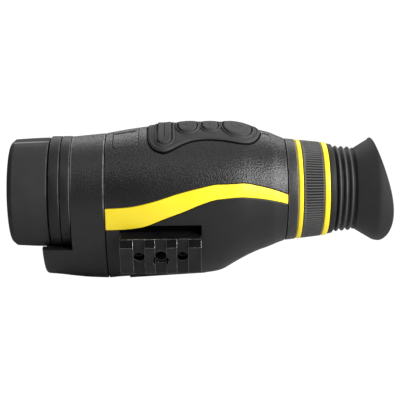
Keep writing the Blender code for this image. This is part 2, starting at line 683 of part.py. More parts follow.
def build_main_board(upper_shell):
    board = box("main_board", (-28.5, 20), both(18.5), (11.0, 12.6), "board")
    fuse(board, box("processor", (-8, 6), both(6), (12.0, 14.4)))
    fuse(board, box("connector_front", (-27.0, -24.4), both(6.5), (9.4, 11.4)))
    fuse(board, box("connector_rear", (16.0, 18.4), both(5.0), (9.6, 11.4)))
    # the board hangs from two posts of the upper shell, one with a screw and one with a peg
    post_x, post_y = -16, 15.8

    def upright(name, y, z, height, radius, segs=12, look=None):
        return rod(name, (post_x, y, z), (0, 0, height), radius, look, segs)

    for i, y in enumerate(both(post_y)):
        fuse(upper_shell, upright("board_post_%d" % (i + 1), y, 12.9, 10.6, 2.3, 14))
        cut(board, upright("board_hole_%d" % (i + 1), y, 10, 4, 1.3))
    cut(upper_shell, upright("board_tap", -post_y, 11, 8, 1.15))
    fuse(upper_shell, upright("board_peg", post_y, 10.6, 2.6, 0.95))
    screw = upright("board_screw", -post_y, 9.4, 1.3, 1.9, 14, "steel")
    fuse(screw, upright("board_shank", -post_y, 10.2, 7.4, 0.9))


def build_io_board():
    board = box("io_board", (-29.2, -18.2), both(11.0), (16.6, 17.8), "board")
    usb = box("usb_port", (-25.1, -21.9), (-8.4, 0.6), (18.1, 23.9), "steel")
    cut(usb, box("usb_mouth", (-24.6, -22.4), (-7.9, 0.1), (19.4, 26)))
    fuse(board, box("card_slot", (-25.6, -21.4), (1.6, 8.9), (17.4, 23.2)))
    cut(board, box("card_mouth", (-24.2, -22.8), (2.3, 8.2), (19.4, 26)))


def ribbon(name, half_width, *controls):
    """A flat cable along the cubic Bezier curve of four (x, z) control points."""
    thickness, steps = 0.25, 9
    path = []
    for i in range(steps + 1):
        t = i / steps
        weights = ((1 - t) ** 3, 3 * t * (1 - t) ** 2, 3 * t * t * (1 - t), t ** 3)
        path.append([sum(w * point[k] for w, point in zip(weights, controls))
                     for k in (0, 1)])
    rows = []
    for i, (x, z) in enumerate(path):
        before = path[max(i - 1, 0)]
        after = path[min(i + 1, steps)]
        along = Vector((after[0] - before[0], 0, after[1] - before[1])).normalized()
        off = Vector((-along.z, 0, along.x)) * thickness / 2
        rows.append([(x + off.x, -half_width, z + off.z), (x + off.x, half_width, z + off.z),
                     (x - off.x, half_width, z - off.z), (x - off.x, -half_width, z - off.z)])
    add(name, loft(rows), "brass")


# ---------------------------------------------------------------- eyepiece
def build_eyepiece():
    turned("eyepiece_collar", "satin", 28, (
        (51.45, 22.0), (51.45, 24.4), (56.1, 23.9), (56.1, 19.6), (52.6, 19.6),
        (52.6, 22.0)))
    turned("eyepiece_barrel", "black_metal", 24, (
        (33.4, 19.2), (48.6, 19.2), (48.6, 21.6), (52.2, 21.6), (52.2, 19.2),
        (73.0, 19.2), (73.0, 17.0), (33.4, 17.0)))
    turned("yellow_ring_front", "yellow", 28, (
        (56.4, 23.6), (58.5, 23.8), (58.5, 21.6), (56.4, 21.6)))
    turned("diopter_ring", "rubber", 36, (
        (56.5, 21.3), (58.8, 21.3), (58.8, 23.6), (68.4, 22.5), (68.4, 20.7),
        (71.0, 20.7), (71.0, 19.5), (56.5, 19.5)))
    turned("yellow_ring_rear", "yellow", 28, (
        (68.7, 22.5), (71.1, 22.2), (71.1, 21.0), (68.7, 21.0)))
    turned("ocular_cell", "black_metal", 24, (
        (53.2, 16.7), (68.0, 16.7), (68.0, 14.9), (61.7, 14.9), (61.7, 13.4),
        (59.1, 13.4), (59.1, 14.9), (54.4, 14.9), (54.4, 13.6), (53.2, 13.6)))
    turned("ocular_lens_front", "glass", 24, (
        (54.9, 0), (55.4, 8.0), (56.4, 14.6), (58.8, 14.6), (58.8, 0)))
    turned("ocular_lens_rear", "glass", 24, (
        (62.0, 0), (62.0, 14.6), (64.0, 14.6), (65.3, 8.0), (65.8, 0)))


def build_display():
    half_y, half_z = 7.1, 5.6
    holder = rod("display_holder", (36.4, 0, 0), (5.6, 0, 0), 16.7, "satin", segs=28)
    cut(holder, box("display_seat", (35, 39.6), both(half_y + GAP), both(half_z + GAP)))
    cut(holder, box("display_window", (39, 43), both(5.6), both(4.4)))
    box("display_module", (36.2, 39.3), both(half_y), both(half_z), "glass")


# ---------------------------------------------------------------- eyecup
CUP_X, CUP_R = 84.4, 19.2       # front end of the flare
CONE, RIM_R = 0.6, 25.2         # radius gained per mm, and radius at the rim
ROUNDING = 0.8                  # how gently the cone turns into the straight part
WING_AT = math.radians(-12)     # the wing points to the rail side and a little down
RIM_X, WING_REACH, WING_POWER = 92.9, 7.5, 3.4


def build_eyecup_mount():
    turned("eyecup_base", "rubber", 28, (
        (71.4, 21.7), (73.7, 21.3), (74.4, 20.2), (74.4, 17.3), (73.3, 17.3),
        (73.3, 19.5), (71.4, 19.5)))
    x0, x1 = 74.75, 84.1
    bore_r, start_r, taper = 18.2, 20.1, 0.75
    ridge_x, ridge_pitch, ridge_height = 76.1, 2.85, 0.6
    wave = []
    for i in range(10):
        x = x0 + (x1 - x0) * i / 9
        mean = start_r - taper * (x - x0) / (x1 - x0)
        phase = 2 * math.pi * (x - ridge_x) / ridge_pitch
        wave.append((x, mean + ridge_height * math.cos(phase)))
    turned("eyecup_bellows", "rubber", 28, wave + [(x1, bore_r), (x0, bore_r)])


def flare(x):
    """Outer radius of the eyecup at x: a cone that levels out into a straight tube."""
    radius = CUP_R + CONE * (x - CUP_X)
    over = radius - (RIM_R - ROUNDING)
    return radius if over < 0 else RIM_R - ROUNDING * math.exp(-over / ROUNDING)


def cup_ring(fraction, inset=0.0):
    """Ring at a fraction of the way to the rim; angles are 0 at -Y, 90 degrees on top."""
    ring = []
    for i in range(30):
        angle = 2 * math.pi * i / 30
        nearness = (1 + math.cos(angle - WING_AT)) / 2
        rim_x = RIM_X + WING_REACH * nearness ** WING_POWER
        x = CUP_X + (rim_x - CUP_X) * fraction
        radius = flare(x) - inset
        ring.append((x, -radius * math.cos(angle), radius * math.sin(angle)))
    return ring


def build_eyecup():
    rows = [cup_ring(f) for f in (0.0, 0.1, 0.35, 0.6, 0.8, 0.95, 1.0)]
    # back along the inside, thinner at the rim
    rows.append(cup_ring(0.99, inset=1.1))
    rows += [cup_ring(f, inset=1.6) for f in (0.8, 0.6, 0.35, 0.1, 0.0)]
    add("eyecup", loft(rows, loop=True), "rubber")


# ---------------------------------------------------------------- assembly
upper_shell, lower_shell = build_shells()
build_stripes()
front_housing = build_front_housing()
add_housing_screws(front_housing, upper_shell, lower_shell)
build_keypad(upper_shell)
build_port_cover(upper_shell)
build_indicator(upper_shell)
build_rail(lower_shell)
build_battery_door(lower_shell)
build_battery()
build_battery_spring()
build_lens_cap()
build_objective()
build_illuminator()
build_sensor()
build_main_board(upper_shell)
build_io_board()
ribbon("sensor_ribbon", 5.5, (-32.3, -2), (-28.5, -2), (-31.5, 8.9), (-23.8, 8.9))
ribbon("display_ribbon", 4.0, (18.6, 8.6), (26, 8.6), (26, 4.5), (35.2, 4.5))
build_eyepiece()
build_display()
build_eyecup_mount()
build_eyecup()

# place the origin on the rest face
shift = Vector((-REST_X, 0, -belly(REST_X))) * MM
for ob in list(model.objects) + list(cutters.objects):
    ob.location += shift
bpy.context.view_layer.update()
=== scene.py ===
import json
import math

import bmesh
import bpy
import numpy as np
from mathutils import Matrix, Vector


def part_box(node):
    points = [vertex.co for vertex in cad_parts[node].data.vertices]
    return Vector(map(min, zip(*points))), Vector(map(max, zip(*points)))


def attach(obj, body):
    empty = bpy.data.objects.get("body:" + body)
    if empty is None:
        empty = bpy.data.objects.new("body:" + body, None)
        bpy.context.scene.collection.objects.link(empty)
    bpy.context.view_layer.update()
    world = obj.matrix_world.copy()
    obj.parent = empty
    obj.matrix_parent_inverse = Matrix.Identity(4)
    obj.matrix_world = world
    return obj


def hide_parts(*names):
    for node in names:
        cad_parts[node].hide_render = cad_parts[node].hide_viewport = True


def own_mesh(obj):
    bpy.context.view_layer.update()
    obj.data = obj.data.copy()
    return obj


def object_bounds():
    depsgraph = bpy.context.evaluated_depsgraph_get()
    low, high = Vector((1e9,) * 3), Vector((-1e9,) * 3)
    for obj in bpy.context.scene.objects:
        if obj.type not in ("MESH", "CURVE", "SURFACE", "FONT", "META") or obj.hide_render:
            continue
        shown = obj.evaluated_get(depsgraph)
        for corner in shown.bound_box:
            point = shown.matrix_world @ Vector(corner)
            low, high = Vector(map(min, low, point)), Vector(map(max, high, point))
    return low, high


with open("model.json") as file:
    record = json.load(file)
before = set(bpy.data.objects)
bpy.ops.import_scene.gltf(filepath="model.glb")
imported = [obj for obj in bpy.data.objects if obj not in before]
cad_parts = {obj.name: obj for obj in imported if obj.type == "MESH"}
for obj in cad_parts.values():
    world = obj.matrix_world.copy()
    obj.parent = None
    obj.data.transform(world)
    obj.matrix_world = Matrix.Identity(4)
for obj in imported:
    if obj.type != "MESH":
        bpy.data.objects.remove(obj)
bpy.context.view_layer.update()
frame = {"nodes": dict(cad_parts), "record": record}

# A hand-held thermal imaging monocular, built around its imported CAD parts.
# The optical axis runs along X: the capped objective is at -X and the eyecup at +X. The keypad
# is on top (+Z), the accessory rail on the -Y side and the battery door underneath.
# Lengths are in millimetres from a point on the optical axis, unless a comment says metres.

BODY_OF = {node: body for body, nodes in frame["record"]["behaviour"]["bodies"].items()
           for node in nodes}
SLOT_OF = {p["node"]: p["material_slot"] for p in frame["record"]["subparts"]}

MM = 0.001
TAU = 2 * math.pi
CAP_X = -78.2                       # outer face of the lens cap
ring_lo, ring_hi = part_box("bezel_ring")
ORIGIN_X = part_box("lens_cap")[0].x * 1000 - CAP_X
ORIGIN_Z = (ring_lo.z + ring_hi.z) * 500
ORIGIN = np.array([ORIGIN_X, 0.0, ORIGIN_Z])


def to_world(points):
    return (np.asarray(points, float) + ORIGIN) * MM


def world_x(x):
    return (ORIGIN_X + x) * MM


def world_z(z):
    return (ORIGIN_Z + z) * MM


# ---------------------------------------------------------------- driving sizes
WALL = 2.4                          # thickness of the shells
REBATE = 1.4                        # depth of the step the side stripes sit in
FRONT_X = -49.0                     # shoulder behind the bezel ring
SEAM_X = -33.3                      # joint of front housing and shells
POD_X = -63.4                       # tip of the pod below the objective
POD_SHOULDER_Z = -20.3
SADDLE_R = 27.3                     # hollow of the pod round the objective
BELLY_Z = -42.1                     # flat underside at SEAM_X, rising towards +X
BELLY_SLOPE = 0.0554
RAIL_TILT = math.radians(17.4)      # the rail faces this far below -Y
RAIL_T = -8.4                       # the rail's centre line, measured up the tilted side
RAIL_X0, RAIL_X1, RAIL_FLOOR = -26.3, 10.8, 28.9
SLOT_PITCH, SLOT_MID = 10.01, -7.7
SCREWS = ((-17.0, 16.4), (17.0, 16.4), (-23.0, -8.0), (23.0, -8.0))     # y, z
PORT_X0, PORT_X1, PORT_HALF = -29.4, -17.6, 11.9
DOOR_X0, DOOR_X1, DOOR_Y, HINGE_UP = -23.2, 13.4, 9.4, 0.95

# x, radius of the body's upper half
UPPER_R = ((-64, 26.0), (-49, 26.4), (-42, 27.0), (-33.3, 27.8), (-27, 28.8), (-20, 29.9),
           (-13, 30.8), (-8, 31.2), (0, 31.6), (10, 31.9), (20, 31.8), (26, 31.4), (30, 30.8),
           (36, 29.4), (40, 28.5), (44.6, 27.3), (47.5, 26.0), (51.4, 24.4))
# x, depth of the body's lower half, before the belly is flattened
LOWER_B = ((-64, 41.0), (-56, 41.9), (-49, 42.9), (-42, 43.6), (-33.3, 43.9), (-27, 43.2),
           (-16, 42.6), (-7, 42.3), (1.4, 41.9), (10, 41.4), (14, 41.0), (18.7, 40.2),
           (21.6, 39.2), (24.5, 37.4), (27.4, 35.4), (30.2, 33.6), (33.1, 31.9), (36, 30.4),
           (39, 29.0), (41.8, 28.0), (44.6, 26.9), (47.5, 25.7), (51.4, 24.4))
# x, z of the upper and lower edges of the side stripes
STRIPE_TOP = ((-33.3, 2.1), (-22.7, 3.4), (-11, 6.4), (0.7, 10.2), (10.5, 12.6), (19.1, 14.0),
              (29.6, 14.0), (36.8, 12.4), (43.4, 10.3), (48.8, 7.8), (51.5, 6.4))
STRIPE_LOW = ((-33.3, -8.5), (-27, -8.0), (-17, -6.3), (-5.3, -1.3), (3.5, 2.3), (10.4, 5.3),
              (19, 7.7), (27.8, 8.2), (35, 7.3), (43.4, 5.4), (51.2, 2.4))
# x, half width of the keypad, before its corners are cut
PAD_HALF = ((-13.3, 9.4), (-12.7, 12.4), (-10.6, 16.2), (-6.5, 18.1), (-4, 17.8), (-1, 16.4),
            (3, 14.2), (8, 12.4), (14, 11.7), (20, 12.1), (26, 12.9), (31, 13.0), (35, 11.4),
            (37.8, 7.8), (39.3, 2.6), (39.5, 0.0))
# node, middle x, half size along X, half size along Y
KEYS = (("key_mode", -5.5, 3.25, 14.3), ("key_zoom_in", 5.3, 4.4, 7.3),
        ("key_zoom_out", 15.9, 3.7, 6.1), ("key_power", 28.7, 6.6, 9.3))


# ---------------------------------------------------------------- the body's skin
def curve(table):
    """A smooth curve through the table's points that never overshoots them."""
    xs, ys = np.array(table, float).T
    gap = np.diff(xs)
    rise = np.diff(ys) / gap
    slope = np.zeros_like(ys)
    slope[0], slope[-1] = rise[0], rise[-1]
    for i in range(1, len(xs) - 1):
        if rise[i - 1] * rise[i] > 0:
            before, after = 2 * gap[i] + gap[i - 1], gap[i] + 2 * gap[i - 1]
            slope[i] = (before + after) / (before / rise[i - 1] + after / rise[i])

    def value(at):
        at = np.clip(np.asarray(at, float), xs[0], xs[-1])
        i = np.clip(np.searchsorted(xs, at, side="right") - 1, 0, len(xs) - 2)
        t = (at - xs[i]) / gap[i]
        return ((1 + 2 * t) * (1 - t) ** 2 * ys[i] + t * (1 - t) ** 2 * gap[i] * slope[i]
                + t * t * (3 - 2 * t) * ys[i + 1] + t * t * (t - 1) * gap[i] * slope[i + 1])
    return value


upper_r, lower_b = curve(UPPER_R), curve(LOWER_B)
stripe_top, stripe_low = curve(STRIPE_TOP), curve(STRIPE_LOW)


def belly(x):
    return BELLY_Z + BELLY_SLOPE * (x - SEAM_X)


def around(count):
    """Evenly spaced angles for a full turn."""
    return TAU * np.arange(count) / count


def ease(t):
    t = np.clip(t, 0, 1)
    return t * t * (3 - 2 * t)


def skin(x, angle, inset):
    """Points of the body's skin at x and angle, moved inwards by inset."""
    x, angle, inset = np.broadcast_arrays(float(x), angle, inset)
    blend, lift = 1.6, 0.4          # reach and height of the rolled edge of the belly
    r, b = upper_r(x) - inset, lower_b(x) - inset
    sine = np.sin(angle)
    z = np.where(sine >= 0, r * sine, b * sine)
    floor_z = belly(x) + inset
    near = np.maximum(blend - np.abs(z - floor_z), 0) / blend
    off_middle = np.abs(angle % TAU - 1.5 * math.pi) > 0.35
    z = np.maximum(z, floor_z) + near * near * lift * off_middle
    return np.stack([x, r * np.cos(angle), z], -1)


def skin_ring(x, pairs):
    """Skin points at x for pairs of angle and inset."""
    angles, insets = np.array(pairs, float).T
    return skin(x, angles, insets)


def top_z(x, y, height):
    """Z at a height over the upper skin."""
    r = upper_r(x) + height
    return np.sqrt(np.maximum(r * r - np.asarray(y, float) ** 2, 0.01))


def on_top(plan, height):
    """Points of a plan view (x, y) at a height over the upper skin."""
    return np.stack([plan[:, 0], plan[:, 1], top_z(plan[:, 0], plan[:, 1], height)], -1)


def stripe_angles(x):
    r, b = float(upper_r(x)), float(lower_b(x))
    return [math.asin(z / (r if z >= 0 else b))
            for z in (float(stripe_low(x)), float(stripe_top(x)))]


# ---------------------------------------------------------------- material tools
def srgb(*channels):
    def linear(c):
        c /= 255
        return c / 12.92 if c <= 0.04045 else ((c + 0.055) / 1.055) ** 2.4
    return tuple(linear(c) for c in channels) + (1.0,)


def grey(value, blue=None):
    return (value, value, value if blue is None else blue, 1)


def scaled(tint, by, blue_by=None):
    return (tint[0] * by, tint[1] * by, tint[2] * (blue_by or by), 1)


class Paint:
    """A material with short ways to build its node tree. Input names use _ for a space."""

    def __init__(self, name):
        self.mat = bpy.data.materials.new(name)
        self.mat.use_nodes = True
        self.tree = self.mat.node_tree
        self.shader = self.tree.nodes["Principled BSDF"]
        self.space = self.add("ShaderNodeTexCoord").outputs["Object"]

    def put(self, socket, value):
        if isinstance(value, bpy.types.NodeSocket):
            self.tree.links.new(value, socket)
        else:
            socket.default_value = value

    def fill(self, node, inputs):
        for key, value in inputs.items():
            self.put(node.inputs[key.replace("_", " ")], value)

    def add(self, kind, **inputs):
        node = self.tree.nodes.new(kind)
        self.fill(node, inputs)
        return node

    def set(self, **inputs):
        self.fill(self.shader, inputs)

    def axes(self):
        return self.add("ShaderNodeSeparateXYZ", Vector=self.space).outputs

    def stretched(self, scale):
        return self.add("ShaderNodeMapping", Scale=scale, Vector=self.space).outputs["Vector"]

    def noise(self, size, detail=3.0, rough=0.5, vector=None):
        return self.add("ShaderNodeTexNoise", Scale=1000.0 / size, Detail=detail,
                        Roughness=rough, Vector=vector or self.space).outputs["Fac"]

    def cells(self, size, feature="SMOOTH_F1"):
        node = self.add("ShaderNodeTexVoronoi", Scale=1000.0 / size, Vector=self.space)
        node.feature = feature
        if feature == "SMOOTH_F1":
            node.inputs["Smoothness"].default_value = 0.6
        return node.outputs["Distance"]

    def spread(self, value, span=(0.3, 0.7), to=(0.0, 1.0)):
        """Maps the span of a value to another range, clamped."""
        return self.add("ShaderNodeMapRange", Value=value, From_Min=span[0], From_Max=span[1],
                        To_Min=to[0], To_Max=to[1]).outputs["Result"]

    def maths(self, how, a, b=0.0):
        node = self.add("ShaderNodeMath")
        node.operation = how
        self.put(node.inputs[0], a)
        self.put(node.inputs[1], b)
        return node.outputs[0]

    def mix(self, factor, a, b):
        node = self.add("ShaderNodeMix")
        node.data_type = "RGBA"
        self.put(node.inputs[0], factor)
        for socket, value in zip([s for s in node.inputs if s.type == "RGBA"], (a, b)):
            self.put(socket, value)
        return next(s for s in node.outputs if s.type == "RGBA")

    def bump(self, height, depth, strength):
        return self.add("ShaderNodeBump", Strength=strength, Distance=depth * MM,
                        Height=height).outputs["Normal"]


def edge_highlights(paint, base, lines):
    """Painted highlights: pale, broken strips on turned edges, fading in above a lowest z. Lines
    hold x, half width, strength, lowest z.
    """
    if not lines:
        return base
    axes = paint.axes()
    patch = paint.noise(2.6, detail=4, rough=0.7)
    for x, half, strength, low in lines:
        off = paint.maths("ABSOLUTE", paint.maths("SUBTRACT", axes["X"], world_x(x)))
        on = paint.spread(off, (half * 0.0005, half * 0.001), (strength, 0.0))
        above = paint.spread(axes["Z"], (world_z(low), world_z(low + 5)))
        on = paint.maths("MULTIPLY", on, above)
        on = paint.maths("MULTIPLY", on, paint.spread(patch, (0.36, 0.62), (0.15, 1.0)))
        # mix in the pale colour of the painted highlight
        base = paint.mix(on, base, (0.26, 0.25, 0.245, 1))
    return base


def groove_shade(paint, x0, r0, slope, depth, deep, crest_highlight):
    """Colour by height in grooves whose crests follow a cone of radius r0 at x0: painted shade
    down in the grooves, a painted highlight on the crests.
    """
    axes = paint.axes()
    z = paint.maths("SUBTRACT", axes["Z"], ORIGIN_Z * MM)
    square = paint.maths("ADD", paint.maths("MULTIPLY", z, z),
                         paint.maths("MULTIPLY", axes["Y"], axes["Y"]))
    r = paint.maths("SQRT", square)
    along = paint.maths("SUBTRACT", axes["X"], world_x(x0))
    cone = paint.maths("ADD", paint.maths("MULTIPLY", along, slope), r0 * MM)
    height = paint.maths("SUBTRACT", r, cone)
    return paint.mix(paint.spread(height, (-depth * MM, 0.0)), deep, crest_highlight)


# ---------------------------------------------------------------- materials
def ribbed(name, shade, rough, level):
    """Ribbed rubber: painted shade, near black, in the grooves and a painted highlight along the
    crests.
    """
    paint = Paint(name)
    fine = paint.noise(0.25, detail=5, rough=0.7)
    cloud = paint.noise(5.0)
    # painted shade in the grooves, painted highlight on the crests
    base = groove_shade(paint, **shade)
    base = paint.mix(paint.spread(cloud, (0.4, 0.7), (0.0, 0.3)), base, grey(0.03))
    paint.set(Base_Color=base, Roughness=paint.spread(fine, to=rough),
              Normal=paint.bump(fine, depth=0.015, strength=0.7), Specular_IOR_Level=level)
    return paint.mat


def grained(name, tint=(0.011, 0.0108, 0.0112, 1), polished=(0.20, 0.42), lines=()):
    """Black moulding with a coarse spark-eroded grain."""
    paint = Paint(name)
    lumps = paint.cells(0.62)
    fine = paint.noise(0.34, detail=4, rough=0.7)
    cloud = paint.noise(14.0, detail=2)
    height = paint.maths("ADD", paint.maths("MULTIPLY", lumps, 0.8),
                         paint.maths("MULTIPLY", fine, 0.55))
    base = paint.mix(paint.spread(height, (0.4, 1.0)), scaled(tint, 1.5), tint)
    base = paint.mix(paint.spread(cloud, (0.35, 0.7), (0.0, 0.25)), base, grey(0.018, 0.0195))
    # painted highlights along the given edges
    base = edge_highlights(paint, base, lines)
    paint.set(Base_Color=base, Roughness=paint.spread(height, (0.35, 1.05), polished),
              Normal=paint.bump(height, depth=0.19, strength=0.9), Specular_IOR_Level=0.5)
    return paint.mat


def satin(name, tint=(0.0125, 0.0123, 0.0128, 1), rough=(0.36, 0.5), lines=(), level=0.38):
    """Black moulding with a fine even texture and faint handling marks."""
    paint = Paint(name)
    fine = paint.noise(0.32, detail=5, rough=0.7)
    cloud = paint.noise(11.0)
    streak = paint.noise(1.0, rough=0.6, vector=paint.stretched((120.0, 900.0, 500.0)))
    base = paint.mix(paint.spread(cloud, (0.3, 0.75), (0.0, 0.5)), tint,
                     scaled(tint, 1.7, blue_by=1.75))
    base = paint.mix(paint.spread(streak, (0.66, 0.8), (0.0, 0.12)), base, grey(0.05, 0.052))
    # painted highlights along the given edges
    base = edge_highlights(paint, base, lines)
    polish = paint.maths("ADD", paint.spread(cloud, to=rough),
                         paint.spread(fine, to=(-0.05, 0.05)))
    paint.set(Base_Color=base, Roughness=polish,
              Normal=paint.bump(fine, depth=0.018, strength=0.8), Specular_IOR_Level=level)
    return paint.mat


def parting_line_highlights(paint, base):
    """The moulding line along the top of the lens cap, painted pale as a highlight, and a painted
    highlight on the cap's rim.
    """
    axes = paint.axes()
    line = paint.spread(paint.maths("ABSOLUTE", axes["Y"]), (0.0006, 0.0010), (0.85, 0.0))
    above = paint.spread(axes["Z"], (world_z(20), world_z(21)))
    base = paint.mix(paint.maths("MULTIPLY", line, above), base, grey(0.24, 0.235))
    return edge_highlights(paint, base, ((-59.95, 0.24, 0.35, 5.0),))


def rubber(name, tint=(0.036, 0.036, 0.038, 1), rough=(0.62, 0.78), depth=0.03, dust=0.10,
           parting_highlights=False):
    """Moulded rubber: matt, softly mottled, with a trace of pale dust."""
    paint = Paint(name)
    fine = paint.noise(0.22, detail=6, rough=0.75)
    mottle = paint.noise(1.6, detail=4, rough=0.6)
    cloud = paint.noise(9.0)
    base = paint.mix(paint.spread(mottle, to=(0.0, 0.6)), tint, scaled(tint, 1.25))
    base = paint.mix(paint.spread(cloud, (0.45, 0.8), (0.0, dust)), base, grey(0.16, 0.155))
    # pale moulding line and rim on the cap: painted highlights
    if parting_highlights:
        base = parting_line_highlights(paint, base)
    height = paint.maths("ADD", fine, paint.maths("MULTIPLY", mottle, 0.6))
    paint.set(Base_Color=base, Roughness=paint.spread(mottle, to=rough),
              Normal=paint.bump(height, depth=depth, strength=0.7), Specular_IOR_Level=0.28)
    return paint.mat


def trim(name):
    """Bright yellow moulded trim: smooth, faintly uneven, with a few darker specks and a faint
    glow of painted light.
    """
    paint = Paint(name)
    cloud = paint.noise(16.0)
    fine = paint.noise(0.5, detail=4, rough=0.6)
    speck = paint.noise(0.9, detail=2)
    base = paint.mix(paint.spread(cloud), srgb(253, 224, 38), srgb(255, 231, 52))
    base = paint.mix(paint.spread(speck, (0.74, 0.84), (0.0, 0.2)), base, srgb(214, 180, 30))
    # the emission is painted light: it makes the trim glow faintly
    paint.set(Base_Color=base, Roughness=paint.spread(cloud, to=(0.34, 0.46)),
              Normal=paint.bump(fine, depth=0.006, strength=0.6),
              Emission_Color=base, Emission_Strength=0.22)
    return paint.mat


def anodised(name, tint=(0.02, 0.02, 0.0215, 1), rough=(0.34, 0.5), metallic=0.65, level=0.5):
    """Hard-anodised aluminium with fine milling lines along its length."""
    paint = Paint(name)
    lines = paint.noise(1.0, detail=4, rough=0.6,
                        vector=paint.stretched((60.0, 2600.0, 2600.0)))
    fine = paint.noise(0.25, detail=4, rough=0.6)
    cloud = paint.noise(6.0)
    base = paint.mix(paint.spread(cloud, to=(0.0, 0.7)), tint, scaled(tint, 1.9))
    base = paint.mix(paint.spread(lines, (0.7, 0.84), (0.0, 0.35)), base, grey(0.12, 0.125))
    height = paint.maths("ADD", paint.maths("MULTIPLY", lines, 0.5), fine)
    paint.set(Base_Color=base, Metallic=metallic, Roughness=paint.spread(cloud, to=rough),
              Normal=paint.bump(height, depth=0.012, strength=0.8), Specular_IOR_Level=level)
    return paint.mat


def edge_wear_and_highlight(name, pale, dark, share=(0.40, 0.62)):
    """A pale, patchy metallic strip along an edge: metal rubbed bare, and a painted highlight
    where it is used round the keypad and the window.
    """
    paint = Paint(name)
    patch = paint.noise(2.2, detail=4, rough=0.65)
    fine = paint.noise(0.3, detail=4, rough=0.7)
    paint.set(Base_Color=paint.mix(paint.spread(patch, share), dark, pale), Metallic=0.85,
              Roughness=paint.spread(fine, to=(0.25, 0.42)),
              Normal=paint.bump(fine, depth=0.01, strength=0.6))
    return paint.mat


def metal(name, tint, rough, metallic=1.0):
    paint = Paint(name)
    fine = paint.noise(0.25, detail=5, rough=0.65)
    cloud = paint.noise(4.0)
    base = paint.mix(paint.spread(cloud, (0.3, 0.75), (0.0, 0.6)), tint, scaled(tint, 0.7))
    paint.set(Base_Color=base, Metallic=metallic, Roughness=paint.spread(cloud, to=rough),
              Normal=paint.bump(fine, depth=0.006, strength=0.7))
    return paint.mat


def glass(name, tint, coating, coat=1.0, level=0.8):
    """A coated lens against a black barrel: dark, very smooth, with fine dust."""
    paint = Paint(name)
    facing = paint.add("ShaderNodeLayerWeight", Blend=0.35).outputs["Facing"]
    dust = paint.noise(0.5, detail=5, rough=0.7)
    base = paint.mix(facing, tint, coating)
    base = paint.mix(paint.spread(dust, (0.72, 0.9), (0.0, 0.25)), base, grey(0.25))
    paint.set(Base_Color=base, Roughness=paint.spread(dust, (0.5, 0.9), (0.03, 0.14)),
              Normal=paint.bump(dust, depth=0.0004, strength=0.3),
              Coat_Weight=coat, Coat_Roughness=0.03, Specular_IOR_Level=level)
    return paint.mat


def board(name):
    """Solder mask with pale traces and vias."""
    paint = Paint(name)
    traces = paint.add("ShaderNodeTexBrick", Scale=420.0, Mortar_Size=0.035,
                       Vector=paint.space).outputs["Fac"]
    dots = paint.cells(1.8, "F1")
    base = paint.mix(paint.spread(traces, (0.0, 1.0), (0.0, 0.45)),
                     srgb(16, 74, 40), srgb(66, 128, 76))
    base = paint.mix(paint.spread(dots, (0.10, 0.16), (1.0, 0.0)), base, srgb(170, 150, 90))
    paint.set(Base_Color=base, Roughness=paint.spread(dots, (0.1, 0.5), (0.3, 0.45)),
              Normal=paint.bump(traces, depth=0.02, strength=0.5))
    return paint.mat


def flex(name):
    """Amber film with fine conductors side by side."""
    paint = Paint(name)
    lines = paint.noise(1.0, detail=1, rough=0.3, vector=paint.stretched((10.0, 1600.0, 10.0)))
    base = paint.mix(paint.spread(lines, (0.45, 0.55)), srgb(168, 98, 24), srgb(205, 140, 62))
    paint.set(Base_Color=base, Roughness=paint.spread(lines, to=(0.22, 0.38)),
              Normal=paint.bump(lines, depth=0.01, strength=0.6))
    return paint.mat


def wrap(name):
    """Printed shrink sleeve in two plain bands."""
    paint = Paint(name)
    cloud = paint.noise(3.0)
    band = paint.spread(paint.axes()["X"], (world_x(4.0), world_x(4.3)))
    base = paint.mix(band, srgb(34, 52, 96), srgb(196, 152, 60))
    base = paint.mix(paint.spread(cloud, (0.5, 0.8), (0.0, 0.2)), base, grey(0.3, 0.32))
    paint.set(Base_Color=base, Roughness=paint.spread(cloud, to=(0.25, 0.4)),
              Normal=paint.bump(cloud, depth=0.02, strength=0.5))
    return paint.mat


# finishes by material slot
LOOK = {
    "grained_shell": grained("grained_shell"),
    "satin_shell": satin("satin_shell"),
    "soft_rubber": rubber("soft_rubber"),
    "black_rubber": rubber("black_rubber", grey(0.017, 0.0175), rough=(0.5, 0.66),
                           depth=0.02, dust=0.04),
    "yellow_trim": trim("yellow_trim"),
    "anodised_rail": anodised("anodised_rail"),
    "black_metal": anodised("black_metal", grey(0.014, 0.015), rough=(0.42, 0.6),
                            metallic=0.4),
    "bright_steel": metal("bright_steel", grey(0.55, 0.56), rough=(0.2, 0.34)),
    "insert_brass": metal("insert_brass", (0.42, 0.31, 0.14, 1), rough=(0.3, 0.45)),
    "optical_glass": glass("optical_glass", (0.03, 0.05, 0.045, 1), (0.10, 0.16, 0.12, 1)),
    "germanium": glass("germanium", (0.02, 0.012, 0.02, 1), (0.16, 0.06, 0.11, 1)),
    "circuit_board": board("circuit_board"),
    "flex_film": flex("flex_film"),
    "cell_wrap": wrap("cell_wrap"),
    "holder_black": satin("holder_black", grey(0.02, 0.021), rough=(0.4, 0.55)),
}

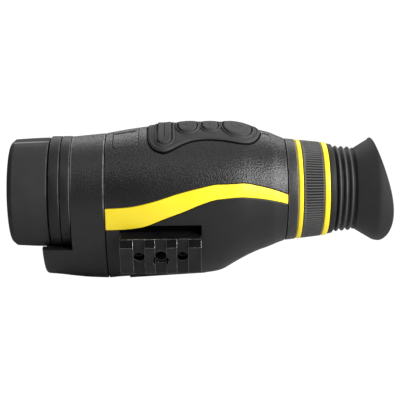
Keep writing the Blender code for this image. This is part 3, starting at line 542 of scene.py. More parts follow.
# finishes of single pieces; lines hold x, half width, strength, lowest z of painted edge
# highlights
# the cap's rubber, with painted highlights on its moulding line and rim
CAP_RUBBER = rubber("cap_rubber", grey(0.029, 0.030), rough=(0.66, 0.8), depth=0.02, dust=0.06,
                    parting_highlights=True)
FRONT_GRAIN = grained("front_grain", polished=(0.26, 0.5),
                      lines=((SEAM_X - 0.42, 0.34, 0.8, -3.0), (FRONT_X + 0.3, 0.3, 0.5, 8.0)))
SHELL_GRAIN = grained("shell_grain", lines=((SEAM_X + 0.45, 0.25, 0.35, -3.0),))
COLLAR_GRAIN = grained("collar_grain", grey(0.022, 0.0225), polished=(0.3, 0.5),
                       lines=((55.95, 0.3, 0.9, -12.0), (51.7, 0.25, 0.5, -12.0)))
FOCUS_SATIN = satin("focus_satin", grey(0.0075, 0.008), rough=(0.42, 0.56),
                    lines=((-58.7, 0.26, 0.16, 6.0), (-54.35, 0.22, 0.32, -4.0)))
BEZEL_SATIN = satin("bezel_satin", grey(0.0095, 0.01), rough=(0.4, 0.54),
                    lines=((-53.5, 0.2, 0.12, -4.0), (-49.5, 0.22, 0.3, -8.0)))
# knurl and bellows: painted shade in the grooves, painted highlights on the crests
KNURL_RUBBER = ribbed(
    "knurl_rubber", dict(x0=59.2, r0=23.5, slope=-0.11, depth=0.55, deep=grey(0.003),
                         crest_highlight=(0.085, 0.083, 0.082, 1)), rough=(0.34, 0.5), level=0.5)
BELLOWS_RUBBER = ribbed(
    "bellows_rubber", dict(x0=74.75, r0=20.7, slope=-0.08, depth=1.15,
                           deep=grey(0.004, 0.0045), crest_highlight=grey(0.07, 0.072)),
    rough=(0.42, 0.58), level=0.4)
FLARE_RUBBER = rubber("flare_rubber", grey(0.034, 0.035), rough=(0.55, 0.68), depth=0.02,
                      dust=0.04)
# a near-black, dull copy of the rail's finish: painted shade on its upward faces
RAIL_SHADE = anodised("rail_shade", grey(0.0035, 0.004), rough=(0.6, 0.75), metallic=0.0,
                     level=0.08)
# near-black satin laid where shade falls in gaps and recesses: painted shade
SEAM_SHADE = satin("seam_shade", grey(0.0022, 0.0024), rough=(0.6, 0.75), level=0.06)
# a paler copy of the shell's grain: painted highlight on the port cover
PORT_GRAIN_LIT = grained("port_grain_lit", (0.024, 0.0235, 0.024, 1))
# pale bevels on the rail and its screws: metal rubbed bare; on the rail they also paint in bright
# edge highlights
RAIL_EDGE = edge_wear_and_highlight("rail_edge", pale=grey(0.75, 0.76), dark=grey(0.09, 0.092),
                      share=(0.30, 0.5))
SCREW_EDGE = edge_wear_and_highlight("screw_edge", pale=grey(0.18, 0.19), dark=grey(0.02),
                       share=(0.45, 0.7))

# ---------------------------------------------------------------- mesh tools
REPLACED = set()                    # CAD nodes that a piece stands for


def mesh_object(name, verts, faces, mat=None):
    """An object from points in metres."""
    mesh = bpy.data.meshes.new(name)
    mesh.from_pydata([tuple(v) for v in np.asarray(verts, float)], [],
                     [tuple(int(i) for i in f) for f in faces])
    mesh.validate()
    ob = bpy.data.objects.new(name, mesh)
    bpy.context.scene.collection.objects.link(ob)
    if mat:
        mesh.materials.append(mat)
    return ob


def outward(ob):
    """Turns the normals of a closed mesh outwards."""
    bm = bmesh.new()
    bm.from_mesh(ob.data)
    bmesh.ops.recalc_face_normals(bm, faces=bm.faces)
    if bm.calc_volume(signed=True) < 0:
        bmesh.ops.reverse_faces(bm, faces=bm.faces)
    bm.to_mesh(ob.data)
    bm.free()
    return ob


def grid_faces(rows, cols, loop=False):
    """Quads between closed rows of points."""
    faces = []
    for i in range(rows if loop else rows - 1):
        here, there = i * cols, (i + 1) % rows * cols
        for j in range(cols):
            k = (j + 1) % cols
            faces.append((here + j, here + k, there + k, there + j))
    return faces


def loft(name, rings, mat=None, loop=False):
    """Closed rings skinned in turn; the ends are capped, or the row is closed on itself."""
    points = np.asarray(rings, float)
    rows, cols = points.shape[:2]
    faces = grid_faces(rows, cols, loop)
    if not loop:
        faces += [tuple(range(cols)), tuple(range((rows - 1) * cols, rows * cols))[::-1]]
    return outward(mesh_object(name, to_world(points.reshape(-1, 3)), faces, mat))


def boxed(lo, hi, turn):
    """A box between two corners in the axes of the matrix turn."""
    corners = [turn @ Vector((x, y, z))
               for x in (lo[0], hi[0]) for y in (lo[1], hi[1]) for z in (lo[2], hi[2])]
    faces = [(0, 1, 3, 2), (4, 6, 7, 5), (0, 4, 5, 1), (2, 3, 7, 6), (0, 2, 6, 4), (1, 5, 7, 3)]
    return outward(mesh_object("box", to_world([tuple(c) for c in corners]), faces))


def rod(start, along, radius, segs):
    start, along = Vector(start), Vector(along)
    turn = Vector((0, 0, 1)).rotation_difference(along.normalized())
    spokes = [turn @ Vector((radius * math.cos(TAU * i / segs),
                             radius * math.sin(TAU * i / segs), 0)) for i in range(segs)]
    return loft("rod", [[tuple(start + along * f + spoke) for spoke in spokes]
                        for f in (0.0, 1.0)])


def screw_rods(x, length, radius, segs, half=0):
    """Rods at the housing screws; half picks those above (1) or below (-1) the axis."""
    return [rod((x, y, z), (length, 0, 0), radius, segs) for y, z in SCREWS if z * half >= 0]


def joined(obs):
    """One object from several."""
    verts, faces = [], []
    for ob in obs:
        base = len(verts)
        verts += [tuple(v.co) for v in ob.data.vertices]
        faces += [tuple(base + i for i in p.vertices) for p in ob.data.polygons]
        bpy.data.objects.remove(ob, do_unlink=True)
    return mesh_object("tool", verts, faces)


def boolean(ob, tools, how):
    """Applies the tools to the object in one step and removes them."""
    tool = joined(tools)
    step = ob.modifiers.new("join", "BOOLEAN")
    step.operation, step.solver, step.object = how, "EXACT", tool
    bpy.context.view_layer.update()
    depsgraph = bpy.context.evaluated_depsgraph_get()
    done = bpy.data.meshes.new_from_object(ob.evaluated_get(depsgraph))
    ob.modifiers.clear()
    if not done.vertices:
        raise RuntimeError("the Boolean on %s left nothing" % ob.name)
    old, ob.data = ob.data, done
    bpy.data.meshes.remove(old)
    bpy.data.objects.remove(tool, do_unlink=True)


def cut(ob, *tools):
    boolean(ob, tools, "DIFFERENCE")


def unite(ob, *tools):
    boolean(ob, tools, "UNION")


def piece(ob, node, angle=32):
    """Hands a finished piece to the frame; edges sharper than angle stay crisp."""
    ob.data.shade_smooth()
    ob.data.set_sharp_from_angle(angle=math.radians(angle))
    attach(ob, BODY_OF[node])
    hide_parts(node)
    REPLACED.add(node)
    return ob


def recolour(ob, mat, chosen):
    """Gives a further material to the faces whose centres pass a test."""
    ob.data.materials.append(mat)
    slot = len(ob.data.materials) - 1
    centres = np.array([f.center for f in ob.data.polygons]) * 1000 - ORIGIN
    for face, yes in zip(ob.data.polygons, chosen(centres)):
        if yes:
            face.material_index = slot


# ---------------------------------------------------------------- outlines in plan (x, y)
def pad_outline():
    """The keypad's outline, its corners cut three times."""
    ring = list(PAD_HALF) + [(x, -half) for x, half in PAD_HALF[-2::-1]]
    for _ in range(3):
        smoother = []
        for i, a in enumerate(ring):
            b = ring[(i + 1) % len(ring)]
            smoother.append((a[0] * 0.75 + b[0] * 0.25, a[1] * 0.75 + b[1] * 0.25))
            smoother.append((a[0] * 0.25 + b[0] * 0.75, a[1] * 0.25 + b[1] * 0.75))
        ring = smoother
    return np.array(ring)


def round_rect(x0, x1, half, radius, steps=10):
    ring = []
    near, far = x0 + radius, x1 - radius
    side = half - radius
    for x, y, start in ((far, side, 0), (near, side, 90), (near, -side, 180), (far, -side, 270)):
        for i in range(steps + 1):
            t = math.radians(start + 90 * i / steps)
            ring.append((x + radius * math.cos(t), y + radius * math.sin(t)))
    return np.array(ring)


def is_pill(half_x, half_y):
    """Whether a key is a pill across the body rather than a rounded block."""
    return half_y > 2.5 * half_x


def key_outline(middle, half_x, half_y, grow=0.0):
    ring = []
    a, b = half_x + grow, half_y + grow
    power = 2 / 2.35
    for u in around(96):
        c, s = math.cos(u), math.sin(u)
        if is_pill(half_x, half_y):
            y = a * s + math.copysign(b - a, s) if abs(s) > 1e-9 else 0.0
            ring.append((middle + a * c, y))
        else:
            ring.append((middle + a * math.copysign(abs(c) ** power, c),
                         b * math.copysign(abs(s) ** power, s)))
    return np.array(ring)


def resample(ring, step):
    """The outline with points evenly spaced."""
    closed = np.vstack([ring, ring[:1]])
    run = np.r_[0, np.cumsum(np.hypot(*np.diff(closed, axis=0).T))]
    count = int(run[-1] / step)
    at = np.arange(count) * run[-1] / count
    return np.stack([np.interp(at, run, closed[:, 0]), np.interp(at, run, closed[:, 1])], -1)


def line_distance(points, a, b):
    a, b = np.array(a, float), np.array(b, float)
    along = b - a
    t = np.clip(((points - a) @ along) / max(along @ along, 1e-12), 0, 1)
    return np.hypot(*(points - (a + t[:, None] * along)).T)


def edge_distance(points, ring):
    """Signed distance from points to a closed outline, positive outside."""
    best = np.full(len(points), 1e9)
    inside = np.zeros(len(points), bool)
    for a, b in zip(ring, np.roll(ring, -1, axis=0)):
        best = np.minimum(best, line_distance(points, a, b))
        crosses = (a[1] > points[:, 1]) != (b[1] > points[:, 1])
        if crosses.any():
            rise = b[1] - a[1] if abs(b[1] - a[1]) > 1e-12 else 1e-12
            x = a[0] + (points[:, 1] - a[1]) * (b[0] - a[0]) / rise
            inside ^= crosses & (points[:, 0] < x)
    return np.where(inside, -best, best)


def grow_ring(ring, by):
    """The outline moved outwards by a distance."""
    along = np.roll(ring, -1, axis=0) - np.roll(ring, 1, axis=0)
    along /= np.maximum(np.linalg.norm(along, axis=1), 1e-9)[:, None]
    normal = np.stack([along[:, 1], -along[:, 0]], -1)
    area = np.sum(ring[:, 0] * np.roll(ring[:, 1], -1) - np.roll(ring[:, 0], -1) * ring[:, 1])
    return ring + normal * by * (1 if area > 0 else -1)


def half_width(ring, stations):
    """Half width of an outline at each x."""
    out = []
    for x in stations:
        hits = [a[1] + (b[1] - a[1]) * (x - a[0]) / (b[0] - a[0])
                for a, b in zip(ring, np.roll(ring, -1, axis=0))
                if (a[0] - x) * (b[0] - x) <= 0 and abs(b[0] - a[0]) > 1e-9]
        out.append(max(hits) if hits else 0.05)
    return np.maximum(np.array(out), 0.05)


def disc_loft(name, levels, mat=None):
    """Outlines at heights over the skin, skinned in turn; the ends follow the curved body."""
    def filled(ring, height):
        middle = ring.mean(0)
        rings = [on_top(middle + (ring - middle) * f, height) for f in (0.8, 0.6, 0.4, 0.2)]
        return rings, on_top(middle[None, :], height)[0]

    first, low = filled(*levels[0])
    last, high = filled(*levels[-1])
    rows = first[::-1] + [on_top(*level) for level in levels] + last
    cols = len(levels[0][0])
    faces = grid_faces(len(rows), cols)
    count = len(rows) * cols
    end = count - cols
    for j in range(cols):
        k = (j + 1) % cols
        faces.append((count, k, j))
        faces.append((count + 1, end + j, end + k))
    verts = np.concatenate([np.concatenate(rows), [low], [high]])
    return outward(mesh_object(name, to_world(verts), faces, mat))


def plug(ring, levels):
    """A cutter along an outline; levels hold height over the skin and growth."""
    return disc_loft("plug", [(grow_ring(ring, by), height) for height, by in levels])


def sheet(name, ring, stations, across, heights, under, under_cols, mat):
    """A sheet over the skin inside an outline.

    across holds places over the width from -1 to 1; heights(plan, inner) gives the top,
    where inner is the distance in from the outline; under is the height of the underside.
    """
    plan = np.stack([np.repeat(stations, len(across)),
                     np.outer(half_width(ring, stations), across).ravel()], -1)
    inner = np.maximum(-edge_distance(plan, ring), 0.0)
    shape = (len(stations), len(across), 3)
    top = on_top(plan, heights(plan, inner)).reshape(shape)
    bottom = on_top(plan, under).reshape(shape)
    few = np.unique(np.linspace(0, len(across) - 1, under_cols).astype(int))
    return loft(name, np.concatenate([top, bottom[:, few[::-1]]], axis=1), mat)


PAD_RING = resample(pad_outline(), 0.55)
PORT_RING = resample(round_rect(PORT_X0, PORT_X1, PORT_HALF, radius=1.6), 0.5)
WINDOW_RING = resample(round_rect(40.2, 43.4, 0.95, radius=0.6), 0.2)

# ---------------------------------------------------------------- upper and lower shells
# x, inset of the rolled end
SHELL_STATIONS = ([(-33.0, 0.3), (-32.93, 0.1), (-32.7, 0.0)]
                  + [(x, 0.0) for x in np.linspace(-32.2, 50.3, 118)]
                  + [(50.8, 0.0), (51.03, 0.1), (51.1, 0.3)])


def shell_rings(sign, outer_steps, inner_steps, wall):
    """Sections of the upper (sign 1) or lower (-1) shell; wall(x, angle) is its thickness."""
    rings = []
    turn = sign * math.pi
    for x, lip in SHELL_STATIONS:
        low, high = stripe_angles(x)
        r = sign * float(upper_r(x))
        middle = (low + high) / 2 + 0.15 / r
        seat = (high if sign > 0 else low) + 0.2 / r
        ends = [(middle, REBATE), (seat, REBATE), (seat, 0.3), (seat + 0.09 / r, 0.1),
                (seat + 0.3 / r, 0.0)]
        start = seat + 0.5 / r
        ring = [(a, max(inset, lip)) for a, inset in ends]
        ring += [(start + (turn - 2 * start) * i / outer_steps, lip)
                 for i in range(outer_steps + 1)]
        ring += [(turn - a, max(inset, lip)) for a, inset in ends[::-1]]
        for i in range(inner_steps + 1):
            a = turn - middle + (2 * middle - turn) * i / inner_steps
            ring.append((a, wall(x, a)))
        rings.append(skin_ring(x, ring))
    return rings


def upper_wall(x, angle):
    return WALL


def lower_wall(x, angle):
    """The wall is thicker behind the rail."""
    if not -30 < x < 15:
        return WALL
    towards_rail = -math.cos(angle - RAIL_TILT)
    return WALL + 2.6 * min(1.0, max(0.0, (towards_rail - 0.45) / 0.3))


def rim_faces(ring, depth, span):
    """A test for faces down to a depth under the top skin, by distance from an outline."""
    def chosen(centres):
        over = np.hypot(centres[:, 1], centres[:, 2]) - upper_r(centres[:, 0])
        picked = (centres[:, 2] > 5) & (over < -0.01) & (over > -depth)
        distance = edge_distance(centres[picked][:, :2], ring)
        picked[picked] = (distance >= span[0]) & (distance < span[1])
        return picked
    return chosen


def make_upper_shell():
    shell = loft("v_upper_shell", shell_rings(1, 92, 48, upper_wall), SHELL_GRAIN)
    posts = [rod((-16, y, 12.9), (0, 0, 10.6), 2.3, 24) for y in (-15.8, 15.8)]
    unite(shell, *screw_rods(-32.6, 7.1, 2.7, 24, half=1), *posts)
    # seats of the keypad, port cover and window: height over the skin, growth
    cut(shell, plug(PAD_RING, ((-1.6, 0.32), (-0.35, 0.32), (0.0, 0.58), (0.5, 0.95),
                               (4.0, 0.95))))
    cut(shell, plug(PORT_RING, ((-1.6, 0.2), (-0.2, 0.2), (0.1, 0.24), (4.0, 0.24))))
    cut(shell, plug(WINDOW_RING, ((-6.0, 0.25), (-0.15, 0.25), (0.25, 0.6), (3.0, 0.6))))
    port_opening = boxed((-27.6, -9.4, 20), (-19.4, 9.4, 34), Matrix.Identity(4))
    stem_holes = [rod((x, 0, float(top_z(x, 0, -0.7)) - 5.0), (0, 0, 6.0), 1.9, 28)
                  for _, x, _, _ in KEYS]
    cut(shell, port_opening, *stem_holes, *screw_rods(-34.5, 7.4, 1.25, 20, half=1),
        rod((-16, -15.8, 11), (0, 0, 8), 1.15, 20))
    # painted shade on the walls of the keypad's seat
    recolour(shell, SEAM_SHADE, rim_faces(PAD_RING, depth=1.6, span=(-0.1, 0.40)))
    # a pale band just outside the keypad's seat: painted highlight
    recolour(shell, edge_wear_and_highlight("pad_rim_highlight", pale=grey(0.16, 0.165), dark=grey(0.06, 0.062)),
             rim_faces(PAD_RING, depth=0.6, span=(0.40, 0.62)))
    # a pale band round the status window's hole: painted highlight
    recolour(shell, edge_wear_and_highlight("window_rim_highlight", pale=grey(0.5), dark=grey(0.2)),
             rim_faces(WINDOW_RING, depth=1.2, span=(-math.inf, 0.62)))
    piece(shell, "upper_shell", angle=28)


# the rail's axes: along X, up the tilted side, and outwards
RAIL = Matrix(((1, 0, 0, 0), (0, -math.sin(RAIL_TILT), -math.cos(RAIL_TILT), 0),
               (0, math.cos(RAIL_TILT), -math.sin(RAIL_TILT), 0), (0, 0, 0, 1)))
RAIL_OUT = Vector((0, -math.cos(RAIL_TILT), -math.sin(RAIL_TILT)))
# the battery bay's axes, lying in the sloping belly
BAY = (Matrix.Translation((0, 0, float(belly(0))))
       @ Matrix.Rotation(-math.atan(BELLY_SLOPE), 4, "Y"))


def on_rail(x, t, out):
    return tuple(RAIL @ Vector((x, t, out)))


def rail_pocket():
    """The recess round the rail: a flat floor that curves out to the skin at its top."""
    # distance up the side, rise over the floor
    rise = curve(((-0.6, 0.0), (0.5, 0.06), (1.8, 0.35), (3.3, 1.1), (4.6, 2.1), (6.2, 4.0),
                  (8.6, 8.0)))
    section = [(-20.4, 45), (-20.4, RAIL_FLOOR + 0.5), (-20.25, RAIL_FLOOR + 0.15),
               (-19.9, RAIL_FLOOR)]
    section += [(t, RAIL_FLOOR + float(rise(t))) for t in np.linspace(-0.6, 8.6, 22)]
    section += [(8.6, 45)]
    return loft("pocket", [[on_rail(x, t, out) for t, out in section]
                           for x in (RAIL_X0 - 0.3, RAIL_X1 + 0.3)])


def in_recess(centres):
    """Faces of the rail's recess, well inside the skin, which get painted shade."""
    x, y, z = centres.T
    t = y * -math.sin(RAIL_TILT) + z * math.cos(RAIL_TILT)
    out = -y * math.cos(RAIL_TILT) - z * math.sin(RAIL_TILT)
    deep = (y / upper_r(x)) ** 2 + (z / lower_b(x)) ** 2 < 0.975
    return ((x > RAIL_X0 - 0.5) & (x < RAIL_X1 + 0.5) & (t > -21) & (t < 8.8)
            & (out > 28) & deep)


def make_lower_shell():
    shell = loft("v_lower_shell", shell_rings(-1, 132, 60, lower_wall), LOOK["satin_shell"])
    backing = boxed((RAIL_X0 + 2, RAIL_T - 6.0, 23.0),
                    (RAIL_X1 - 2, RAIL_T + 6.0, RAIL_FLOOR - 0.2), RAIL)
    unite(shell, *screw_rods(-32.6, 7.1, 2.7, 24, half=-1), backing)
    door = boxed((DOOR_X0 - 0.3, -DOOR_Y - 0.3, -3), (DOOR_X1 + 0.3, DOOR_Y + 1.25, 6), BAY)
    cut(shell, rail_pocket(), door, *screw_rods(-34.5, 7.4, 1.25, 20, half=-1))
    rail_taps = [rod(on_rail(SLOT_MID + i * SLOT_PITCH, RAIL_T, 22.4), RAIL_OUT * 11.4, 1.75, 24)
                 for i in (-1, 1)]
    hinge_holes = [rod(BAY @ Vector((x, DOOR_Y, HINGE_UP)),
                       BAY.to_3x3() @ Vector((3.1, 0, 0)), 0.6, 16)
                   for x in (DOOR_X0 - 2.6, DOOR_X1 - 0.5)]
    cut(shell, *rail_taps, *hinge_holes)
    # painted shade in the rail's recess
    recolour(shell, SEAM_SHADE, in_recess)
    piece(shell, "lower_shell", angle=30)


def make_stripe(node, side):
    """A yellow side stripe: a shallow crown with rolled edges, at -Y or +Y by side."""
    rings = []
    for x, lip in SHELL_STATIONS:
        low, high = stripe_angles(x)
        r = float(upper_r(x))
        roll = 0.34 / r
        ring = [(low, 0.3), (low + 0.08 / r, 0.06), (low + roll * 0.55, -0.06),
                (low + roll, -0.1)]
        ring += [(low + roll + (high - low - 2 * roll) * i / 14, -0.1) for i in range(1, 14)]
        ring += [(high - roll, -0.1), (high - roll * 0.55, -0.06), (high - 0.08 / r, 0.06),
                 (high, 0.3)]
        ring = [(a, max(inset, lip * 0.8)) for a, inset in ring]
        ring += [(high - (high - low) * i / 6, REBATE - 0.3) for i in range(7)]
        points = skin_ring(x, ring)
        points[:, 1] *= side
        rings.append(points)
    piece(loft("v_" + node, rings, LOOK["yellow_trim"]), node, angle=40)


make_upper_shell()
make_lower_shell()
make_stripe("side_stripe_left", -1)
make_stripe("side_stripe_right", 1)


# ---------------------------------------------------------------- front housing with its pod
def make_front_housing():
    nose = 1.5                      # radius of the pod's rolled tip
    # x, inset from the skin
    stations = [(POD_X + nose * (1 - math.cos(t)), nose * (1 - math.sin(t)))
                for t in np.linspace(0, math.pi / 2, 6)]
    stations += [(x, 0.0) for x in np.linspace(-61.0, -33.9, 34)]
    stations += [(-33.7, 0.03), (-33.5, 0.12), (-33.4, 0.3)]
    housing = loft("v_front_housing", [skin(x, around(176), inset) for x, inset in stations],
                   FRONT_GRAIN)
    dip = math.asin(-POD_SHOULDER_Z / SADDLE_R)
    saddle = [(40, 40), (-40, 40), (-40, POD_SHOULDER_Z)]
    for i in range(73):
        a = dip + (math.pi - 2 * dip) * i / 72
        saddle.append((-SADDLE_R * math.cos(a), -SADDLE_R * math.sin(a)))
    saddle.append((40, POD_SHOULDER_Z))
    cut(housing, loft("saddle", [[(x, y, z) for y, z in saddle] for x in (-70, FRONT_X)]))
    cut(housing, loft("cavity", [skin(x, around(96), 2.3) for x in (-46.4, -41, -32)]))
    unite(housing, *screw_rods(-45.0, 11.6, 2.5, 24))
    cut(housing, rod((-52, 0, 0), (8, 0, 0), 21.1, 96), rod((-66, 0, -34.3), (22, 0, 0), 5.6, 48),
        *screw_rods(-50, 18, 1.3, 20))
    piece(housing, "front_housing", angle=28)


make_front_housing()


# ---------------------------------------------------------------- keypad
def pad_heights(plan, inner):
    x = plan[:, 0]
    height = 0.95 - 0.85 * (1 - np.clip(inner / 0.85, 0, 1)) ** 2.2
    # a groove and a bead inside the border, at both ends
    ends = ease((-1.5 - x) / 3.0) + ease((x - 31.5) / 2.0)
    height -= 0.30 * ends * np.exp(-((inner - 1.55) / 0.26) ** 2)
    height += 0.16 * ends * np.exp(-((inner - 0.95) / 0.4) ** 2)
    # a raised collar with a groove outside it round each key
    for _, middle, half_x, half_y in KEYS:
        distance = edge_distance(plan, key_outline(middle, half_x, half_y))
        collar = 1.0 - np.abs(distance - 0.86) / 0.52
        height += (0.22 if is_pill(half_x, half_y) else 0.50) * ease(collar * 1.6)
        height -= 0.18 * np.exp(-((distance - 1.72) / 0.24) ** 2)
    # the front end runs down towards the shell
    height -= 0.62 * (1 - ease((x + 13.2) / 6.4)) * np.clip(height, 0, 1)
    return height


def pad_seams(centres):
    """The pad's rolled border and the walls round the keys, which get painted shade."""
    over = np.hypot(centres[:, 1], centres[:, 2]) - upper_r(centres[:, 0])
    picked = (edge_distance(centres[:, :2], PAD_RING) > -0.12) & (over < 0.5)
    for _, middle, half_x, half_y in KEYS:
        distance = edge_distance(centres[:, :2], key_outline(middle, half_x, half_y))
        picked |= (distance > -0.5) & (distance < 0.48)
    return picked


def make_membrane():
    start, end = PAD_RING[:, 0].min() + 0.004, PAD_RING[:, 0].max() - 0.004
    stations = np.concatenate([np.linspace(start, -12.2, 14)[:-1],
                               np.linspace(-12.2, 37.5, 210), np.linspace(37.5, end, 14)[1:]])
    cols = 150
    # closer together towards the sides
    across = (np.sin(np.linspace(-math.pi / 2, math.pi / 2, cols)) * 0.35
              + np.linspace(-1, 1, cols) * 0.65)
    membrane = sheet("v_keypad_membrane", PAD_RING, stations, across, pad_heights,
                     under=-1.25, under_cols=22, mat=LOOK["soft_rubber"])
    windows = []
    for _, middle, half_x, half_y in KEYS:
        ring = key_outline(middle, half_x, half_y, grow=0.3)
        windows.append(disc_loft("key_window", [(ring, -3.5), (ring, 4.0)]))
    cut(membrane, *windows)
    # painted shade on the pad's border and in the gaps round the keys
    recolour(membrane, SEAM_SHADE, pad_seams)
    piece(membrane, "keypad_membrane", angle=48)


def key_mark(node, plan, middle):
    """A faint raised sign on a key, from 0 to 1."""
    spot = plan - np.array([middle, 0.0])
    if node == "key_zoom_in":
        distance = np.minimum(line_distance(spot, (-1.5, 0), (1.5, 0)),
                              line_distance(spot, (0, -1.7), (0, 1.7)))
    elif node == "key_zoom_out":
        distance = line_distance(spot, (0, -1.8), (0, 1.8))
    elif node == "key_power":
        # a ring, open towards +X where the stroke stands
        distance = np.abs(np.hypot(spot[:, 0], spot[:, 1]) - 2.3)
        distance = np.where((np.abs(spot[:, 1]) < 1.0) & (spot[:, 0] > 0), 9.0, distance)
        distance = np.minimum(distance, line_distance(spot, (0.4, 0), (2.9, 0)))
    else:
        # a pointer
        distance = np.minimum(line_distance(spot, (-1.1, -9.4), (0.6, -10.4)),
                              line_distance(spot, (0.6, -10.4), (-1.1, -11.4)))
    return ease(1 - (distance - 0.24) / 0.22)


def make_key(node, middle, half_x, half_y):
    pill = is_pill(half_x, half_y)
    outline = key_outline(middle, half_x, half_y)
    centre = np.array([middle, 0.0])
    skirt = (0.4, 0.5, 0.7) if node == "key_power" else (-0.15, 0.1, 0.7)
    rings = [on_top(outline, height) for height in skirt]
    # distances from the rolled edge inwards
    insets = [0.0, 0.05, 0.14, 0.26, 0.42, 0.6, 0.8, 1.0]
    for inset in insets + list(np.linspace(1.2, half_x - 0.15, 16)):
        if pill:
            plan = key_outline(middle, half_x - inset, half_y - inset)
        else:
            plan = centre + (outline - centre) * (1 - inset / half_x)
        edge = max(1 - inset / 0.75, 0)
        height = (1.45 if pill else 1.73) - 0.62 * (1 - math.sqrt(1 - edge * edge))
        dish = -0.14 * float(ease((inset - 0.8) / 1.8))
        rings.append(on_top(plan, height + dish + 0.13 * key_mark(node, plan, middle)))
    key = loft("v_" + node, rings, LOOK["soft_rubber"])
    unite(key, rod((middle, 0, float(top_z(middle, 0, -0.7)) - 3.2), (0, 0, 3.9), 1.4, 24))
    piece(key, node, angle=50)


make_membrane()
for key_row in KEYS:
    make_key(*key_row)


# ---------------------------------------------------------------- port cover, status window
def port_heights(plan, inner):
    """Flush with the skin, with a rolled edge and one long groove along X."""
    groove = line_distance(plan, (-28.4, 0.5), (-19.4, 0.5))
    height = 0.06 - 0.14 * (1 - np.clip(inner / 0.25, 0, 1)) ** 2
    return height - 0.85 * ease((1.0 - groove) / 0.5)


def make_port_cover():
    even = np.linspace(PORT_X0 + 0.004, PORT_X1 - 0.004, 66)[1:-1]
    ends = np.array([0.004, 0.06, 0.15])
    stations = np.concatenate([PORT_X0 + ends, even, PORT_X1 - ends[::-1]])
    # the cover's paler grain is a painted highlight
    cover = sheet("v_port_cover", PORT_RING, stations, np.linspace(-1, 1, 100), port_heights,
                  under=-1.3, under_cols=14, mat=PORT_GRAIN_LIT)
    piece(cover, "port_cover", angle=50)


def make_window():
    middle = WINDOW_RING.mean(0)
    inner = middle + (WINDOW_RING - middle) * 0.9
    smoked = glass("smoked_window", grey(0.003, 0.0035), grey(0.006, 0.0065), coat=0.0,
                   level=0.12)
    levels = [(WINDOW_RING, height) for height in (-2.9, -0.5, -0.42)] + [(inner, -0.36)]
    piece(disc_loft("v_indicator_window", levels, smoked), "indicator_window", angle=30)


make_port_cover()
make_window()


# ---------------------------------------------------------------- tools for turned pieces
def rounded(corners, steps=4):
    """A closed profile from corners of x, radius from the axis, and rounding."""
    points = [np.array(c[:2], float) for c in corners]
    profile = []
    for i, point in enumerate(points):
        rounding = corners[i][2]
        if rounding <= 0:
            profile.append(tuple(point))
            continue
        a, b = points[i - 1] - point, points[(i + 1) % len(points)] - point
        length_a, length_b = np.linalg.norm(a), np.linalg.norm(b)
        a, b = a / length_a, b / length_b
        half = math.acos(float(a @ b)) / 2
        back = min(rounding / math.tan(half), length_a * 0.45, length_b * 0.45)
        radius = back * math.tan(half)
        centre = point + (a + b) / np.linalg.norm(a + b) * (radius / math.sin(half))
        start, end = point + a * back - centre, point + b * back - centre
        angle = math.atan2(start[1], start[0])
        sweep = (math.atan2(end[1], end[0]) - angle + math.pi) % TAU - math.pi
        for k in range(steps + 1):
            t = angle + sweep * k / steps
            profile.append((centre[0] + radius * math.cos(t), centre[1] + radius * math.sin(t)))
    return profile


def densify(profile, step):
    """Points along an open profile no further apart than step."""
    out = [profile[0]]
    for a, b in zip(profile, profile[1:]):
        count = max(1, int(math.ceil(math.dist(a, b) / step)))
        out += [(a[0] + (b[0] - a[0]) * k / count, a[1] + (b[1] - a[1]) * k / count)
                for k in range(1, count + 1)]
    return out


def circle(x, r, angles):
    return np.stack(np.broadcast_arrays(x, -r * np.cos(angles), r * np.sin(angles)), -1)


def lathe(name, profile, mat, segs, closed, swell):
    """A profile of (x, radius) turned about the axis; an open one starts and ends on it.

    swell(x, radius, angles) may change the radius.
    """
    angles = around(segs)
    rows = [circle(x, swell(x, r, angles) if swell else r, angles) for x, r in profile]
    if closed:
        return loft(name, rows, mat, loop=True)
    verts = [rows[0][0]] + [point for row in rows[1:-1] for point in row] + [rows[-1][0]]
    inner = len(rows) - 2
    faces = [tuple(1 + k for k in face) for face in grid_faces(inner, segs)]
    last = 1 + inner * segs
    for j in range(segs):
        k = (j + 1) % segs
        faces.append((0, 1 + k, 1 + j))
        faces.append((last, last - segs + j, last - segs + k))
    return outward(mesh_object(name, to_world(verts), faces, mat))


def turned(node, profile, mat, segs, angle=32, closed=True, swell=None, cuts=()):
    ob = lathe("v_" + node, profile, mat, segs, closed, swell)
    if cuts:
        cut(ob, *cuts)
    return piece(ob, node, angle)


def dome(x_edge, x_mid, radius):
    """Points from the axis out to the edge of a lens face."""
    return [(x_mid + (x_edge - x_mid) * (r / radius) ** 2, r) for r in np.linspace(0, radius, 14)]


# ---------------------------------------------------------------- objective end
def cap_flat(x, r, angles):
    """The flat along the top of the lens cap."""
    limit = 24.85 + (x + 80.2) / 22.6 * 0.65
    on_flat = (r * np.sin(angles) > limit) & (r > 24.0)
    return np.where(on_flat, limit / np.maximum(np.sin(angles), 0.2), r)


def make_lens_cap():
    inner_x = -76.2
    side = rounded([(inner_x, 22.0, 0.6), (-74.8, 23.35, 0.6), (-59.6, 23.35, 0.25),
                    (-59.6, 25.5, 0.25), (-60.2, 26.0, 0.4), (-68, 25.75, 0),
                    (-76.0, 25.3, 1.2), (CAP_X, 23.4, 1.6), (CAP_X, 21.0, 0)], steps=5)
    side += [(CAP_X, 18.6), (-78.05, 18.3), (-78.05, 17.6), (CAP_X, 17.3), (CAP_X, 9.0)]
    profile = [(inner_x, 0)] + densify(side, 0.9) + [(CAP_X, 0)]
    turned("lens_cap", profile, CAP_RUBBER, 256, angle=35, closed=False, swell=cap_flat)


